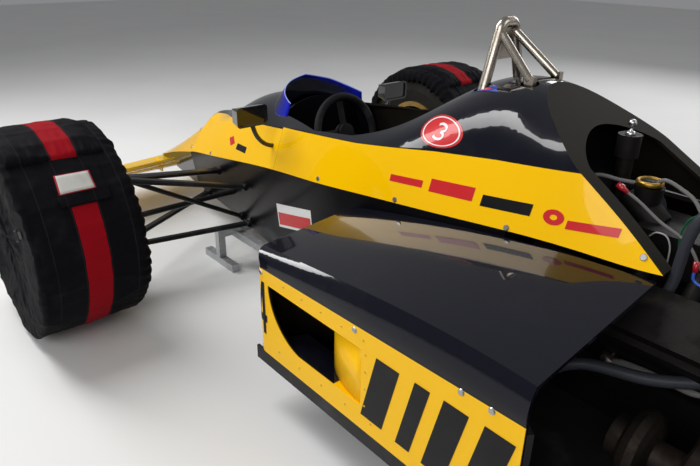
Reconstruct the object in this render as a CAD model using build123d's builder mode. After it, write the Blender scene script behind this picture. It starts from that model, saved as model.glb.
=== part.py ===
"""Open wheel racing car on two paddock stands, with its rear cover off and a warmer on every tyre.

Millimetres. +X is forward, +Y is the car's left, +Z is up. The origin is on the shop floor, under the
middle of the car. Stations along the car are measured from the front axle, forward positive, and
heights on the car from its flat bottom.
"""

import math
import os

from build123d import *

os.makedirs("parts", exist_ok=True)

# Overall layout
WHEELBASE = 2690
FRONT_TRACK = 1813
REAR_TRACK = 1661
FRONT_OVERHANG = 1100
REAR_OVERHANG = 530
FLAT_BOTTOM = 147
FRONT_HUB_Z = 350
REAR_HUB_Z = 362
FRONT_AXLE = (WHEELBASE + REAR_OVERHANG - FRONT_OVERHANG) / 2
REAR_AXLE = FRONT_AXLE - WHEELBASE

# Clearances
SEAT_FIT = 0.3
PANEL_GAP = 3
RUNNING_FIT = 0.05

# Tyres, rims and warmers
FRONT_TYRE_R = 318
FRONT_TYRE_W = 300
REAR_TYRE_R = 330
REAR_TYRE_W = 392
BEAD_R = 166
RIM_WALL = 8
RIM_FLANGE_R = 180
WARMER_TREAD = 19
WARMER_SIDE = 17
WARMER_FIT = 1
WARMER_MOUTH_R = 190

# Hubs, discs and uprights
SHAFT_R = 34
DISC_R = 139
DISC_W = 26
DISC_IN = 62
HOUSING_R = 58
HOUSING_W = 66
PIN_R = 8
EYE_R = 17
EYE_H = 28
BOSS_R = 16

# Body shell
SKIN = 9
TUB_WALL = 25
TUB_FLOOR = 20
NOSE_SEAM = 560
SEATBACK = -985
TUB_REAR = -1300
FOOTWELL_FRONT = 500

# Sections of the body. Columns: station, half width of the floor, half width and height of the chine,
# half width and height of the shoulder, height of the crest
NOSE_ROWS = (
    (1075, 40, 55, 20, 36, 28, 33),
    (866, 66, 84, 88, 44, 122, 134),
    (NOSE_SEAM, 112, 140, 173, 62, 280, 302),
)
COWL_ROWS = (
    (NOSE_SEAM, 112, 140, 173, 62, 280, 302),
    (340, 138, 173, 219, 92, 352, 392),
    (228, 152, 191, 241, 114, 382, 438),
    (70, 172, 215, 273, 142, 420, 510),
    (-120, 200, 241, 310, 180, 452, 552),
    (-305, 226, 264, 342, 214, 486, 574),
    (-520, 250, 285, 371, 248, 517, 588),
    (-750, 264, 299, 402, 264, 543, 610),
    (-900, 268, 301, 421, 262, 565, 668),
    (-1040, 268, 300, 437, 250, 590, 738),
    (-1220, 262, 292, 456, 234, 612, 752),
    (-1440, 256, 270, 470, 204, 622, 750),
    (-1700, 240, 240, 486, 192, 630, 742),
)


def at(station):
    """Return the place along X of a station measured from the front axle."""
    return FRONT_AXLE + station


def cross_plane(station):
    """Return the plane across the car at a station: its x is the car's left, its y is height."""
    return Plane(origin=(at(station), 0, FLAT_BOTTOM), x_dir=(0, 1, 0), z_dir=(1, 0, 0))


def shell_loft(rows, skin=0, drop=0, lift=0):
    """Return the solid over the chine through some rows, drawn in by a skin and let down by a drop."""
    with BuildPart() as body:
        for station, _, chine_half, chine, shoulder_half, shoulder, crest in rows:
            flare = drop * (chine_half - shoulder_half) / (shoulder - chine)
            low_half = chine_half + flare - skin
            high_half = shoulder_half - skin
            with BuildSketch(cross_plane(station)):
                with BuildLine():
                    Line((-low_half, chine - drop), (low_half, chine - drop))
                    Line((low_half, chine - drop), (high_half, shoulder))
                    ThreePointArc((high_half, shoulder), (0, crest - skin + lift), (-high_half, shoulder))
                    Line((-high_half, shoulder), (-low_half, chine - drop))
                make_face()
        loft()
    return body.part


def tub_loft(rows, wall=0, floor=0, rise=0):
    """Return the solid under the chine through some rows, drawn in by a wall and over a floor."""
    with BuildPart() as body:
        for station, floor_half, chine_half, chine, *_ in rows:
            with BuildSketch(cross_plane(station)):
                with BuildLine():
                    Polyline((wall - floor_half, floor), (floor_half - wall, floor),
                             (chine_half - wall, chine + rise), (wall - chine_half, chine + rise), close=True)
                make_face()
        loft()
    return body.part


def length_of(body, front, rear):
    """Return the length of a body between a front and a rear station."""
    with BuildPart() as piece:
        add(body)
        with BuildSketch(Plane.YZ.offset(at(rear))):
            Rectangle(3000, 3000)
        extrude(amount=front - rear, mode=Mode.INTERSECT)
    return piece.part


def strut(start, end, radius):
    """Add a round tube between two points to the part being built."""
    run = Vector(*end) - Vector(*start)
    with BuildSketch(Plane(origin=start, z_dir=run)) as section:
        Circle(radius)
    extrude(section.sketch, amount=run.length)


def blade(start, end, chord, thickness, lean=(1, 0, 0)):
    """Add a flat streamlined tube between two points, with its chord along a direction."""
    run = Vector(*end) - Vector(*start)
    with BuildSketch(Plane(origin=start, x_dir=lean, z_dir=run)) as section:
        SlotOverall(chord, thickness)
    extrude(section.sketch, amount=run.length)


def save(piece, name):
    """Label a finished piece and write it as the STEP file of its node."""
    piece.label = name
    export_step(piece, f"parts/{name}.step")


def side_plane(axle, hub_z, side):
    """Return the plane through an axle whose x runs outboard and whose y is the radius upward."""
    return Plane(origin=(axle, 0, hub_z), x_dir=(0, side, 0), z_dir=(side, 0, 0))


# Nose cone, in one moulding ahead of the seam
with BuildPart() as nose_cone:
    for station, floor_half, chine_half, chine, shoulder_half, shoulder, crest in NOSE_ROWS:
        seam = SEAT_FIT if station == NOSE_SEAM else 0
        with BuildSketch(cross_plane(station + seam)):
            with BuildLine():
                Line((-floor_half, 0), (floor_half, 0))
                Line((floor_half, 0), (chine_half, chine))
                Line((chine_half, chine), (shoulder_half, shoulder))
                ThreePointArc((shoulder_half, shoulder), (0, crest), (-shoulder_half, shoulder))
                Line((-shoulder_half, shoulder), (-chine_half, chine))
                Line((-chine_half, chine), (-floor_half, 0))
            make_face()
    loft()
save(nose_cone.part, "nose_cone")

# Slanted plane where the top cover ends, over the front of the engine
COVER_TOP = (-1220, 744)
COVER_LOW = (-1625, 491)
LIP_W = 34
LIP_T = 10
cut_run = Vector(COVER_LOW[0] - COVER_TOP[0], 0, COVER_LOW[1] - COVER_TOP[1]).normalized()
cut_normal = Vector(cut_run.Z, 0, -cut_run.X)
cut_plane = Plane(origin=(at(COVER_TOP[0]), 0, FLAT_BOTTOM + COVER_TOP[1]), x_dir=(0, 1, 0), z_dir=cut_normal)

# Steering column, which leans up towards the driver, and the bulkhead it passes through
WHEEL_STATION = -395
WHEEL_H = 452
COLUMN_LEAN = math.radians(17)
COLUMN_R = 12
COLUMN_LENGTH = 290
COLUMN_WAY = Vector(math.cos(COLUMN_LEAN), 0, -math.sin(COLUMN_LEAN))
DASH_STATION = -215
DASH_T = 12


def column_point(station):
    """Return the place on the steering column's axis at a station."""
    drop = (station - WHEEL_STATION) * math.tan(COLUMN_LEAN)
    return (at(station), 0, FLAT_BOTTOM + WHEEL_H - drop)


# Monocoque tub, hollow from the footwell to the seat back, with the tank behind
TRACK_ROD_STATION = 100
TRACK_ROD_H = 123
RACK_TUBE = 11
with BuildPart() as tank_shape:
    add(length_of(shell_loft(COWL_ROWS, skin=SKIN + PANEL_GAP, drop=10), SEATBACK, TUB_REAR))
    with BuildSketch(cut_plane.offset(-LIP_T - PANEL_GAP)):
        Rectangle(900, 2400)
    extrude(amount=900, mode=Mode.SUBTRACT)
tank = tank_shape.part
tub_outside = tub_loft(COWL_ROWS)
cockpit_room = tub_loft(COWL_ROWS, wall=TUB_WALL, floor=TUB_FLOOR, rise=5)
under_cowl = shell_loft(COWL_ROWS, skin=SKIN + PANEL_GAP, drop=10)
with BuildPart() as monocoque_tub:
    add(length_of(tub_outside, NOSE_SEAM, TUB_REAR))
    add(length_of(cockpit_room, FOOTWELL_FRONT, SEATBACK), mode=Mode.SUBTRACT)
    add(tank)
    # dash bulkhead with the column's hole and room for the legs below
    add(length_of(tub_outside, DASH_STATION, DASH_STATION - DASH_T))
    add(length_of(under_cowl, DASH_STATION, DASH_STATION - DASH_T))
    with BuildSketch(cross_plane(DASH_STATION + 20)):
        with Locations((0, FLAT_BOTTOM - 10)):
            Rectangle(300, 230)
    extrude(amount=-60, mode=Mode.SUBTRACT)
    with BuildSketch(Plane(origin=column_point(DASH_STATION), z_dir=COLUMN_WAY)):
        Circle(COLUMN_R + SEAT_FIT)
    extrude(amount=60, both=True, mode=Mode.SUBTRACT)
    with BuildSketch(Plane.XZ.offset(-400)):
        with Locations((at(TRACK_ROD_STATION), FLAT_BOTTOM + TRACK_ROD_H)):
            Circle(RACK_TUBE + SEAT_FIT)
    extrude(amount=800, mode=Mode.SUBTRACT)
save(monocoque_tub.part, "monocoque_tub")

# Cockpit cowl and top cover, one thin shell with the cockpit open and its rear cut on a slant
COCKPIT_FRONT = -165
COCKPIT_CORNER = (-305, 178)
COCKPIT_WIDE = (-520, 238)
COCKPIT_STRAIGHT = (-700, 240)
COCKPIT_TAPER = (-880, 168)
COCKPIT_REAR = (-1012, 74)
HOOP_STATION = -1038
HOOP_FOOT = 80
HOOP_TUBE = 14
STAY_STATION = -1165
STAY_FOOT = 58
with BuildPart() as cockpit_cowl:
    add(shell_loft(COWL_ROWS, drop=-1))
    add(shell_loft(COWL_ROWS, skin=SKIN, drop=40), mode=Mode.SUBTRACT)
    with BuildSketch(Plane.XY.offset(FLAT_BOTTOM + 440)):
        with BuildLine():
            ThreePointArc((at(COCKPIT_CORNER[0]), -COCKPIT_CORNER[1]), (at(COCKPIT_FRONT), 0),
                          (at(COCKPIT_CORNER[0]), COCKPIT_CORNER[1]))
            for side in (1, -1):
                corner, wide, straight, taper, rear = (
                    (at(x), side * y) for x, y in (COCKPIT_CORNER, COCKPIT_WIDE, COCKPIT_STRAIGHT,
                                                   COCKPIT_TAPER, COCKPIT_REAR))
                Line(corner, wide)
                Line(wide, straight)
                ThreePointArc(straight, taper, rear)
            Line((at(COCKPIT_REAR[0]), COCKPIT_REAR[1]), (at(COCKPIT_REAR[0]), -COCKPIT_REAR[1]))
        make_face()
    extrude(amount=400, mode=Mode.SUBTRACT)
    with BuildSketch(cut_plane):
        Rectangle(900, 2400)
    extrude(amount=900, mode=Mode.SUBTRACT)
    with BuildSketch(Plane.XY.offset(FLAT_BOTTOM + 600)):
        for side in (1, -1):
            with Locations((at(HOOP_STATION), side * HOOP_FOOT), (at(STAY_STATION), side * STAY_FOOT)):
                Circle(HOOP_TUBE + 9)
    extrude(amount=300, mode=Mode.SUBTRACT)
with BuildPart() as lip:
    add(shell_loft(COWL_ROWS, skin=SKIN - 1, drop=-2))
    add(shell_loft(COWL_ROWS, skin=SKIN + LIP_W, drop=60, lift=-14), mode=Mode.SUBTRACT)
    with BuildSketch(cut_plane):
        Rectangle(900, 1100)
    extrude(amount=-LIP_T, mode=Mode.INTERSECT)
save(cockpit_cowl.part + lip.part, "cockpit_cowl")

# Wrap-round windscreen, a leaning bent sheet whose top edge falls to the cockpit rim. Columns of a row:
# height, station of its front, half width at its corner and at its rear end
SCREEN_T = 4
SCREEN_CORNER = -330
SCREEN_REAR = -520
SCREEN_ROWS = ((450, 60, 208, 262), (640, -175, 152, 240))
SCREEN_EDGE = ((-120, 634), (-305, 540), (SCREEN_REAR, 522), (-800, 522), (-800, 900), (-120, 900))
with BuildPart() as windscreen:
    for inset, mode in ((0, Mode.ADD), (SCREEN_T, Mode.SUBTRACT)):
        with BuildPart(mode=mode):
            for height, front, corner, rear in SCREEN_ROWS:
                with BuildSketch(Plane.XY.offset(FLAT_BOTTOM + height)):
                    with BuildLine():
                        corner_x, rear_x = at(SCREEN_CORNER), at(SCREEN_REAR)
                        ThreePointArc((corner_x, inset - corner), (at(front - inset), 0),
                                      (corner_x, corner - inset))
                        Polyline((corner_x, corner - inset), (rear_x, rear - inset), (rear_x, inset - rear),
                                 (corner_x, inset - corner))
                    make_face()
            loft()
    add(shell_loft(COWL_ROWS, skin=-SEAT_FIT), mode=Mode.SUBTRACT)
    with BuildSketch(Plane.XZ.offset(-400)):
        with BuildLine():
            Polyline(*[(at(x), FLAT_BOTTOM + h) for x, h in SCREEN_EDGE], close=True)
        make_face()
    extrude(amount=800, mode=Mode.SUBTRACT)
save(windscreen.part, "windscreen")

# Roll hoop on the tank, with its gusset and two stays
HOOP_TOP = 884
HOOP_SEAT = 690
STAY_TUBE = 11
STAY_SEAT = 722
GUSSET_T = 5
with BuildPart() as roll_hoop:
    hoop_plane = Plane(origin=(at(HOOP_STATION), 0, FLAT_BOTTOM), x_dir=(0, 1, 0), z_dir=(1, 0, 0))
    with BuildLine(hoop_plane) as hoop_line:
        FilletPolyline((HOOP_FOOT + 6, HOOP_SEAT), (26, HOOP_TOP), (-26, HOOP_TOP),
                       (-HOOP_FOOT - 6, HOOP_SEAT), radius=20)
    with BuildSketch(Plane(origin=hoop_line.line @ 0, z_dir=hoop_line.line % 0)):
        Circle(HOOP_TUBE)
    sweep(path=hoop_line.line)
    with BuildSketch(hoop_plane.offset(-GUSSET_T / 2)):
        with BuildLine():
            Polyline((34, HOOP_TOP), (62, 792), (-62, 792), (-34, HOOP_TOP), close=True)
        make_face()
        with Locations((0, 836)):
            Circle(15, mode=Mode.SUBTRACT)
    extrude(amount=GUSSET_T)
    for side in (1, -1):
        strut((at(HOOP_STATION - 6), side * 30, FLAT_BOTTOM + HOOP_TOP - 26),
              (at(STAY_STATION), side * STAY_FOOT, FLAT_BOTTOM + STAY_SEAT + 36), STAY_TUBE)
        with BuildSketch(Plane.XY.offset(FLAT_BOTTOM + STAY_SEAT)):
            with Locations((at(STAY_STATION), side * STAY_FOOT)):
                Rectangle(26, 16)
        extrude(amount=48)
    add(tank, mode=Mode.SUBTRACT)
save(roll_hoop.part, "roll_hoop")

# Flat floor: a tray round the tub with an upstand under each sidepod and a diffuser between the rear wheels
FLOOR_T = 8
FLOOR_HALF = 655
FLOOR_FRONT = -790
FLOOR_SHOULDER = -2190
FLOOR_WAIST = -2300
FLOOR_NARROW = 545
FLOOR_REAR = -2560
DIFFUSER_REAR = -3020
DIFFUSER_RISE = 125
POD_REAR = -1640
UPSTAND = 40
POD_SKIN = 8
CORNER = 45
with BuildPart() as flat_floor:
    with BuildSketch(Plane.XY.offset(FLAT_BOTTOM)):
        with BuildLine():
            Polyline((at(FLOOR_FRONT), -FLOOR_HALF), (at(FLOOR_FRONT), FLOOR_HALF),
                     (at(FLOOR_SHOULDER), FLOOR_HALF), (at(FLOOR_WAIST), FLOOR_NARROW),
                     (at(FLOOR_REAR), FLOOR_NARROW), (at(FLOOR_REAR), -FLOOR_NARROW),
                     (at(FLOOR_WAIST), -FLOOR_NARROW), (at(FLOOR_SHOULDER), -FLOOR_HALF), close=True)
        make_face()
    extrude(amount=FLOOR_T)
    with BuildSketch(Plane.XZ.offset(-FLOOR_NARROW)):
        with BuildLine():
            Polyline((at(FLOOR_REAR) + 1, FLAT_BOTTOM), (at(FLOOR_REAR) + 1, FLAT_BOTTOM + FLOOR_T),
                     (at(DIFFUSER_REAR), FLAT_BOTTOM + DIFFUSER_RISE + FLOOR_T),
                     (at(DIFFUSER_REAR), FLAT_BOTTOM + DIFFUSER_RISE), close=True)
        make_face()
    extrude(amount=2 * FLOOR_NARROW)
    for side in (1, -1):
        with BuildSketch(Plane.XY.offset(FLAT_BOTTOM)):
            with Locations((at((FLOOR_FRONT + FLOOR_SHOULDER) / 2), side * (FLOOR_HALF - POD_SKIN / 2))):
                Rectangle(FLOOR_FRONT - FLOOR_SHOULDER, POD_SKIN)
        extrude(amount=UPSTAND)
        with BuildSketch(Plane.XZ.offset(-side * FLOOR_NARROW)):
            with BuildLine():
                Polyline((at(FLOOR_REAR), FLAT_BOTTOM), (at(FLOOR_REAR), FLAT_BOTTOM + 60),
                         (at(DIFFUSER_REAR), FLAT_BOTTOM + DIFFUSER_RISE + FLOOR_T),
                         (at(DIFFUSER_REAR), FLAT_BOTTOM), close=True)
            make_face()
        extrude(amount=side * 5)
    # room for the tub
    add(length_of(tub_loft(COWL_ROWS, wall=-SEAT_FIT, floor=-1), 0, TUB_REAR - SEAT_FIT), mode=Mode.SUBTRACT)
save(flat_floor.part, "flat_floor")

# Sidepods. Columns: station, height of the side's top edge, half width and height of the crown,
# half width and height of the inner edge
POD_ROWS = (
    (-790, 300, 618, 338, 304, 366),
    (-1000, 308, 628, 364, 304, 408),
    (-1240, 316, 634, 390, 296, 444),
    (POD_REAR, 326, 640, 402, 252, 462),
)
POD_HALF = 655
MOUTH = (330, 606, 62, 292)
MOUTH_R = 28
OUTLET_TOP = 258
OUTLET_LOW = 106
OUTLET_FRONT = -858
OUTLET_LEAD = -985
OUTLET_SILL = -1126
RAMP_REAR = -1224
RAMP_DEPTH = 72


def pod_loft(side, skin=0, drop=0, base=UPSTAND, reach=0):
    """Return the solid of a sidepod, drawn in by a skin."""
    rows = list(POD_ROWS)
    with BuildPart() as body:
        for station, side_top, crown_half, crown, inner_half, inner in rows:
            if skin and station == POD_ROWS[0][0]:
                station = station - 24
            if station == POD_REAR:
                station = station - reach
            with BuildSketch(cross_plane(station)):
                with BuildLine():
                    outer = side * (POD_HALF - skin)
                    inboard = side * (inner_half - drop)
                    top = side_top - skin / 2
                    Line((inboard, inner - skin), (inboard, base - drop))
                    Line((inboard, base - drop), (outer, base - drop))
                    Line((outer, base - drop), (outer, top))
                    bulge = (side * (POD_HALF + crown_half + 14 - 2 * skin) / 2, (top + crown - skin) / 2 + 5)
                    ThreePointArc((outer, top), bulge, (side * (crown_half - skin), crown - skin))
                    Line((side * (crown_half - skin), crown - skin), (inboard, inner - skin))
                make_face()
        loft()
    return body.part


for side, word in ((1, "left"), (-1, "right")):
    with BuildPart() as sidepod:
        add(pod_loft(side))
        # rounded front corner, seen from above
        with BuildSketch(Plane.XY.offset(FLAT_BOTTOM)):
            corner_at = (at(POD_ROWS[0][0] - CORNER), side * (POD_HALF - CORNER))
            with Locations((corner_at[0] + CORNER, corner_at[1] + side * CORNER)):
                Rectangle(2 * CORNER, 2 * CORNER)
            with Locations(corner_at):
                Circle(CORNER, mode=Mode.SUBTRACT)
        extrude(amount=400, mode=Mode.SUBTRACT)
        add(pod_loft(side, skin=POD_SKIN, drop=20, reach=10), mode=Mode.SUBTRACT)
        # front mouth
        with BuildSketch(cross_plane(-700)):
            with Locations((side * (MOUTH[0] + MOUTH[1]) / 2, (MOUTH[2] + MOUTH[3]) / 2)):
                RectangleRounded(MOUTH[1] - MOUTH[0], MOUTH[3] - MOUTH[2], MOUTH_R)
        extrude(amount=-160, mode=Mode.SUBTRACT)
        # side outlet, its leading edge swept back to the sill
        outlet_origin = (0, side * (POD_HALF + 20), FLAT_BOTTOM)
        with BuildSketch(Plane(origin=outlet_origin, x_dir=(1, 0, 0), z_dir=(0, -1, 0))):
            with BuildLine():
                Line((at(OUTLET_FRONT), OUTLET_TOP), (at(RAMP_REAR), OUTLET_TOP))
                Line((at(RAMP_REAR), OUTLET_TOP), (at(RAMP_REAR), OUTLET_LOW))
                Line((at(RAMP_REAR), OUTLET_LOW), (at(OUTLET_LEAD), OUTLET_LOW))
                ThreePointArc((at(OUTLET_LEAD), OUTLET_LOW), (at(-885), 172), (at(OUTLET_FRONT), OUTLET_TOP))
            make_face()
        extrude(amount=side * 60, mode=Mode.SUBTRACT)
        # curved ramp that turns the air out along the side, between its two shelves
        with BuildSketch(Plane.XY.offset(FLAT_BOTTOM + OUTLET_LOW - POD_SKIN)):
            with BuildLine():
                ThreePointArc((at(OUTLET_SILL), side * (POD_HALF - RAMP_DEPTH)),
                              (at(OUTLET_SILL - 62), side * (POD_HALF - 44)),
                              (at(RAMP_REAR) - 1, side * POD_HALF))
                Line((at(RAMP_REAR) - 1, side * POD_HALF), (at(RAMP_REAR) - 9, side * (POD_HALF - 2)))
                ThreePointArc((at(RAMP_REAR) - 9, side * (POD_HALF - 2)),
                              (at(OUTLET_SILL - 62), side * (POD_HALF - 54)),
                              (at(OUTLET_SILL), side * (POD_HALF - RAMP_DEPTH - 7)))
                Line((at(OUTLET_SILL), side * (POD_HALF - RAMP_DEPTH - 7)),
                     (at(OUTLET_SILL), side * (POD_HALF - RAMP_DEPTH)))
            make_face()
        extrude(amount=OUTLET_TOP - OUTLET_LOW + 2 * POD_SKIN)
        for shelf in (OUTLET_LOW - POD_SKIN, OUTLET_TOP):
            with BuildSketch(Plane.XY.offset(FLAT_BOTTOM + shelf)):
                with BuildLine():
                    Polyline((at(OUTLET_FRONT - 30), side * (POD_HALF - 2)),
                             (at(RAMP_REAR), side * (POD_HALF - 2)),
                             (at(OUTLET_SILL + 6), side * (POD_HALF - RAMP_DEPTH - 10)),
                             (at(OUTLET_FRONT - 60), side * (POD_HALF - RAMP_DEPTH - 10)), close=True)
                make_face()
            extrude(amount=POD_SKIN)
    save(sidepod.part, f"sidepod_{word}")

# Wheels. Columns: word for the end, axle, hub height, track, tyre radius, tyre width
ENDS = (
    ("front", FRONT_AXLE, FRONT_HUB_Z, FRONT_TRACK, FRONT_TYRE_R, FRONT_TYRE_W),
    ("rear", REAR_AXLE, REAR_HUB_Z, REAR_TRACK, REAR_TYRE_R, REAR_TYRE_W),
)
CORNERS = [(*end, side, word) for end in ENDS for side, word in ((1, "left"), (-1, "right"))]
SHOULDER_R = 34
SPOKES = 8
RIM_FACE_IN = 14
RIM_FACE_T = 14
DRIVESHAFT_R = 17
GEARBOX_SIDE = 128
SHAFT_END = GEARBOX_SIDE - 20
for end, axle, hub_z, track, tyre_r, tyre_w, side, word in CORNERS:
    centre = track / 2
    half = tyre_w / 2
    axis = Axis((axle, 0, hub_z), (0, 1, 0))
    section = side_plane(axle, hub_z, side)
    bead_half = half - 14
    with BuildPart() as tyre:
        with BuildSketch(section):
            with BuildLine():
                Polyline((centre - bead_half, BEAD_R), (centre - bead_half, BEAD_R + 16),
                         (centre - half, BEAD_R + 70), (centre - half, tyre_r - SHOULDER_R))
                ThreePointArc((centre - half, tyre_r - SHOULDER_R),
                              (centre - half + SHOULDER_R * 0.293, tyre_r - SHOULDER_R * 0.293),
                              (centre - half + SHOULDER_R, tyre_r))
                Line((centre - half + SHOULDER_R, tyre_r), (centre + half - SHOULDER_R, tyre_r))
                ThreePointArc((centre + half - SHOULDER_R, tyre_r),
                              (centre + half - SHOULDER_R * 0.293, tyre_r - SHOULDER_R * 0.293),
                              (centre + half, tyre_r - SHOULDER_R))
                Polyline((centre + half, tyre_r - SHOULDER_R), (centre + half, BEAD_R + 70),
                         (centre + bead_half, BEAD_R + 16), (centre + bead_half, BEAD_R),
                         (centre - bead_half, BEAD_R))
            make_face()
        revolve(axis=axis)
    save(tyre.part, f"tyre_{end}_{word}")

    # warmer, a jacket over the tread and both side walls, open at both rims
    inner_r = tyre_r + WARMER_FIT
    outer_r = tyre_r + WARMER_FIT + WARMER_TREAD
    inner_half = half + WARMER_FIT
    outer_half = half + WARMER_FIT + WARMER_SIDE
    with BuildPart() as warmer:
        with BuildSketch(section):
            with BuildLine():
                Polyline((centre - inner_half, WARMER_MOUTH_R + 50),
                         (centre - outer_half, WARMER_MOUTH_R + 60),
                         (centre - outer_half, outer_r - SHOULDER_R))
                ThreePointArc((centre - outer_half, outer_r - SHOULDER_R),
                              (centre - outer_half + SHOULDER_R * 0.293, outer_r - SHOULDER_R * 0.293),
                              (centre - outer_half + SHOULDER_R, outer_r))
                Line((centre - outer_half + SHOULDER_R, outer_r), (centre + outer_half - SHOULDER_R, outer_r))
                ThreePointArc((centre + outer_half - SHOULDER_R, outer_r),
                              (centre + outer_half - SHOULDER_R * 0.293, outer_r - SHOULDER_R * 0.293),
                              (centre + outer_half, outer_r - SHOULDER_R))
                Polyline((centre + outer_half, outer_r - SHOULDER_R), (centre + outer_half, WARMER_MOUTH_R),
                         (centre + inner_half, WARMER_MOUTH_R), (centre + inner_half, tyre_r - SHOULDER_R))
                ThreePointArc((centre + inner_half, tyre_r - SHOULDER_R),
                              (centre + inner_half - SHOULDER_R * 0.293, inner_r - SHOULDER_R * 0.293),
                              (centre + half - SHOULDER_R, inner_r))
                Line((centre + half - SHOULDER_R, inner_r), (centre - half + SHOULDER_R, inner_r))
                ThreePointArc((centre - half + SHOULDER_R, inner_r),
                              (centre - inner_half + SHOULDER_R * 0.293, inner_r - SHOULDER_R * 0.293),
                              (centre - inner_half, tyre_r - SHOULDER_R))
                Line((centre - inner_half, tyre_r - SHOULDER_R), (centre - inner_half, WARMER_MOUTH_R + 50))
            make_face()
        revolve(axis=axis)
    save(warmer.part, f"warmer_{end}_{word}")

    # rim: barrel and flanges turned with a dished face, then windows between the spokes
    flange = bead_half + 1
    face = centre + half - 60
    with BuildPart() as rim:
        with BuildSketch(section):
            with BuildLine():
                Polyline((centre - flange - 7, RIM_FLANGE_R), (centre - flange, RIM_FLANGE_R),
                         (centre - flange, BEAD_R - 0.5), (centre + flange, BEAD_R - 0.5),
                         (centre + flange, RIM_FLANGE_R), (centre + flange + 7, RIM_FLANGE_R),
                         (centre + flange + 7, BEAD_R - RIM_WALL), (face, BEAD_R - RIM_WALL),
                         (face - RIM_FACE_IN, 74), (face - RIM_FACE_IN, SHAFT_R + RUNNING_FIT),
                         (face - RIM_FACE_IN - RIM_FACE_T, SHAFT_R + RUNNING_FIT),
                         (face - RIM_FACE_IN - RIM_FACE_T, 70),
                         (face - RIM_FACE_T, BEAD_R - RIM_WALL), (centre - flange - 7, BEAD_R - RIM_WALL),
                         close=True)
            make_face()
        revolve(axis=axis)
        window_origin = (axle, side * (face + 30), hub_z)
        with BuildSketch(Plane(origin=window_origin, x_dir=(1, 0, 0), z_dir=(0, -side, 0))):
            with PolarLocations(118, SPOKES):
                SlotOverall(52, 34)
        extrude(amount=90, mode=Mode.SUBTRACT)
    save(rim.part, f"rim_{end}_{word}")

    # hub: shaft through the upright, drive flange, brake disc and wheel nut
    back_of_face = face - RIM_FACE_IN - RIM_FACE_T
    disc_out = centre - half + DISC_IN + DISC_W + HOUSING_W
    housing_out = disc_out - DISC_W - 8
    housing_in = housing_out - HOUSING_W
    with BuildPart() as hub:
        with BuildSketch(section):
            with BuildLine():
                Polyline((housing_in - 14, 0), (housing_in - 14, SHAFT_R + 8), (housing_in - 1, SHAFT_R + 8),
                         (housing_in - 1, SHAFT_R), (housing_out + 1, SHAFT_R),
                         (housing_out + 1, SHAFT_R + 12),
                         (disc_out - DISC_W, SHAFT_R + 12), (disc_out - DISC_W, DISC_R), (disc_out, DISC_R),
                         (disc_out, SHAFT_R + 20), (back_of_face - 14, SHAFT_R + 20),
                         (back_of_face - 14, 66), (back_of_face, 66),
                         (back_of_face, SHAFT_R), (face - RIM_FACE_IN, SHAFT_R),
                         (face - RIM_FACE_IN, 46), (face - RIM_FACE_IN + 30, 40),
                         (face - RIM_FACE_IN + 30, 0), close=True)
            make_face()
        revolve(axis=axis)
        if end == "rear":
            strut((axle, side * SHAFT_END, hub_z), (axle, side * housing_in, hub_z), DRIVESHAFT_R)
            for joint_y in (GEARBOX_SIDE + 28, housing_in - 50):
                strut((axle, side * joint_y, hub_z), (axle, side * (joint_y + 36), hub_z), 38)
    save(hub.part, f"hub_{end}_{word}")

# Kingpins of the front uprights: places of the two ball joints from the hub
KING_TOP = (-8, -178, 122)
KING_LOW = (8, -161, -140)
ARM_FORWARD = 100
ROD_EYE_R = 16
ROD_BALL = 12
FRONT_HALF = FRONT_TRACK / 2
REAR_HALF = REAR_TRACK / 2
RACK_H = TRACK_ROD_H


def king(point, side):
    """Return the place of a front ball joint given from the hub, on one side of the car."""
    return (FRONT_AXLE + point[0], side * (FRONT_HALF + point[1]), FRONT_HUB_Z + point[2])


def housing_places(track, tyre_w):
    """Return the inner and outer ends of an upright's bearing housing along the axle."""
    disc_out = track / 2 - tyre_w / 2 + DISC_IN + DISC_W + HOUSING_W
    housing_out = disc_out - DISC_W - 8
    return housing_out - HOUSING_W, housing_out


def rear_joints(inner, side):
    """Return the two outer joints of a rear corner, from the inner end of its bearing housing."""
    upper = (REAR_AXLE, side * (inner - 12), REAR_HUB_Z + 122)
    return upper, (REAR_AXLE, side * (inner - 6), REAR_HUB_Z - 118)


def box_between(low, high):
    """Add a box between two corners to the part being built."""
    with BuildSketch(Plane.XY.offset(min(low[2], high[2]))) as base:
        with Locations(((low[0] + high[0]) / 2, (low[1] + high[1]) / 2)):
            Rectangle(abs(high[0] - low[0]), abs(high[1] - low[1]))
    extrude(base.sketch, amount=abs(high[2] - low[2]))


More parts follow.
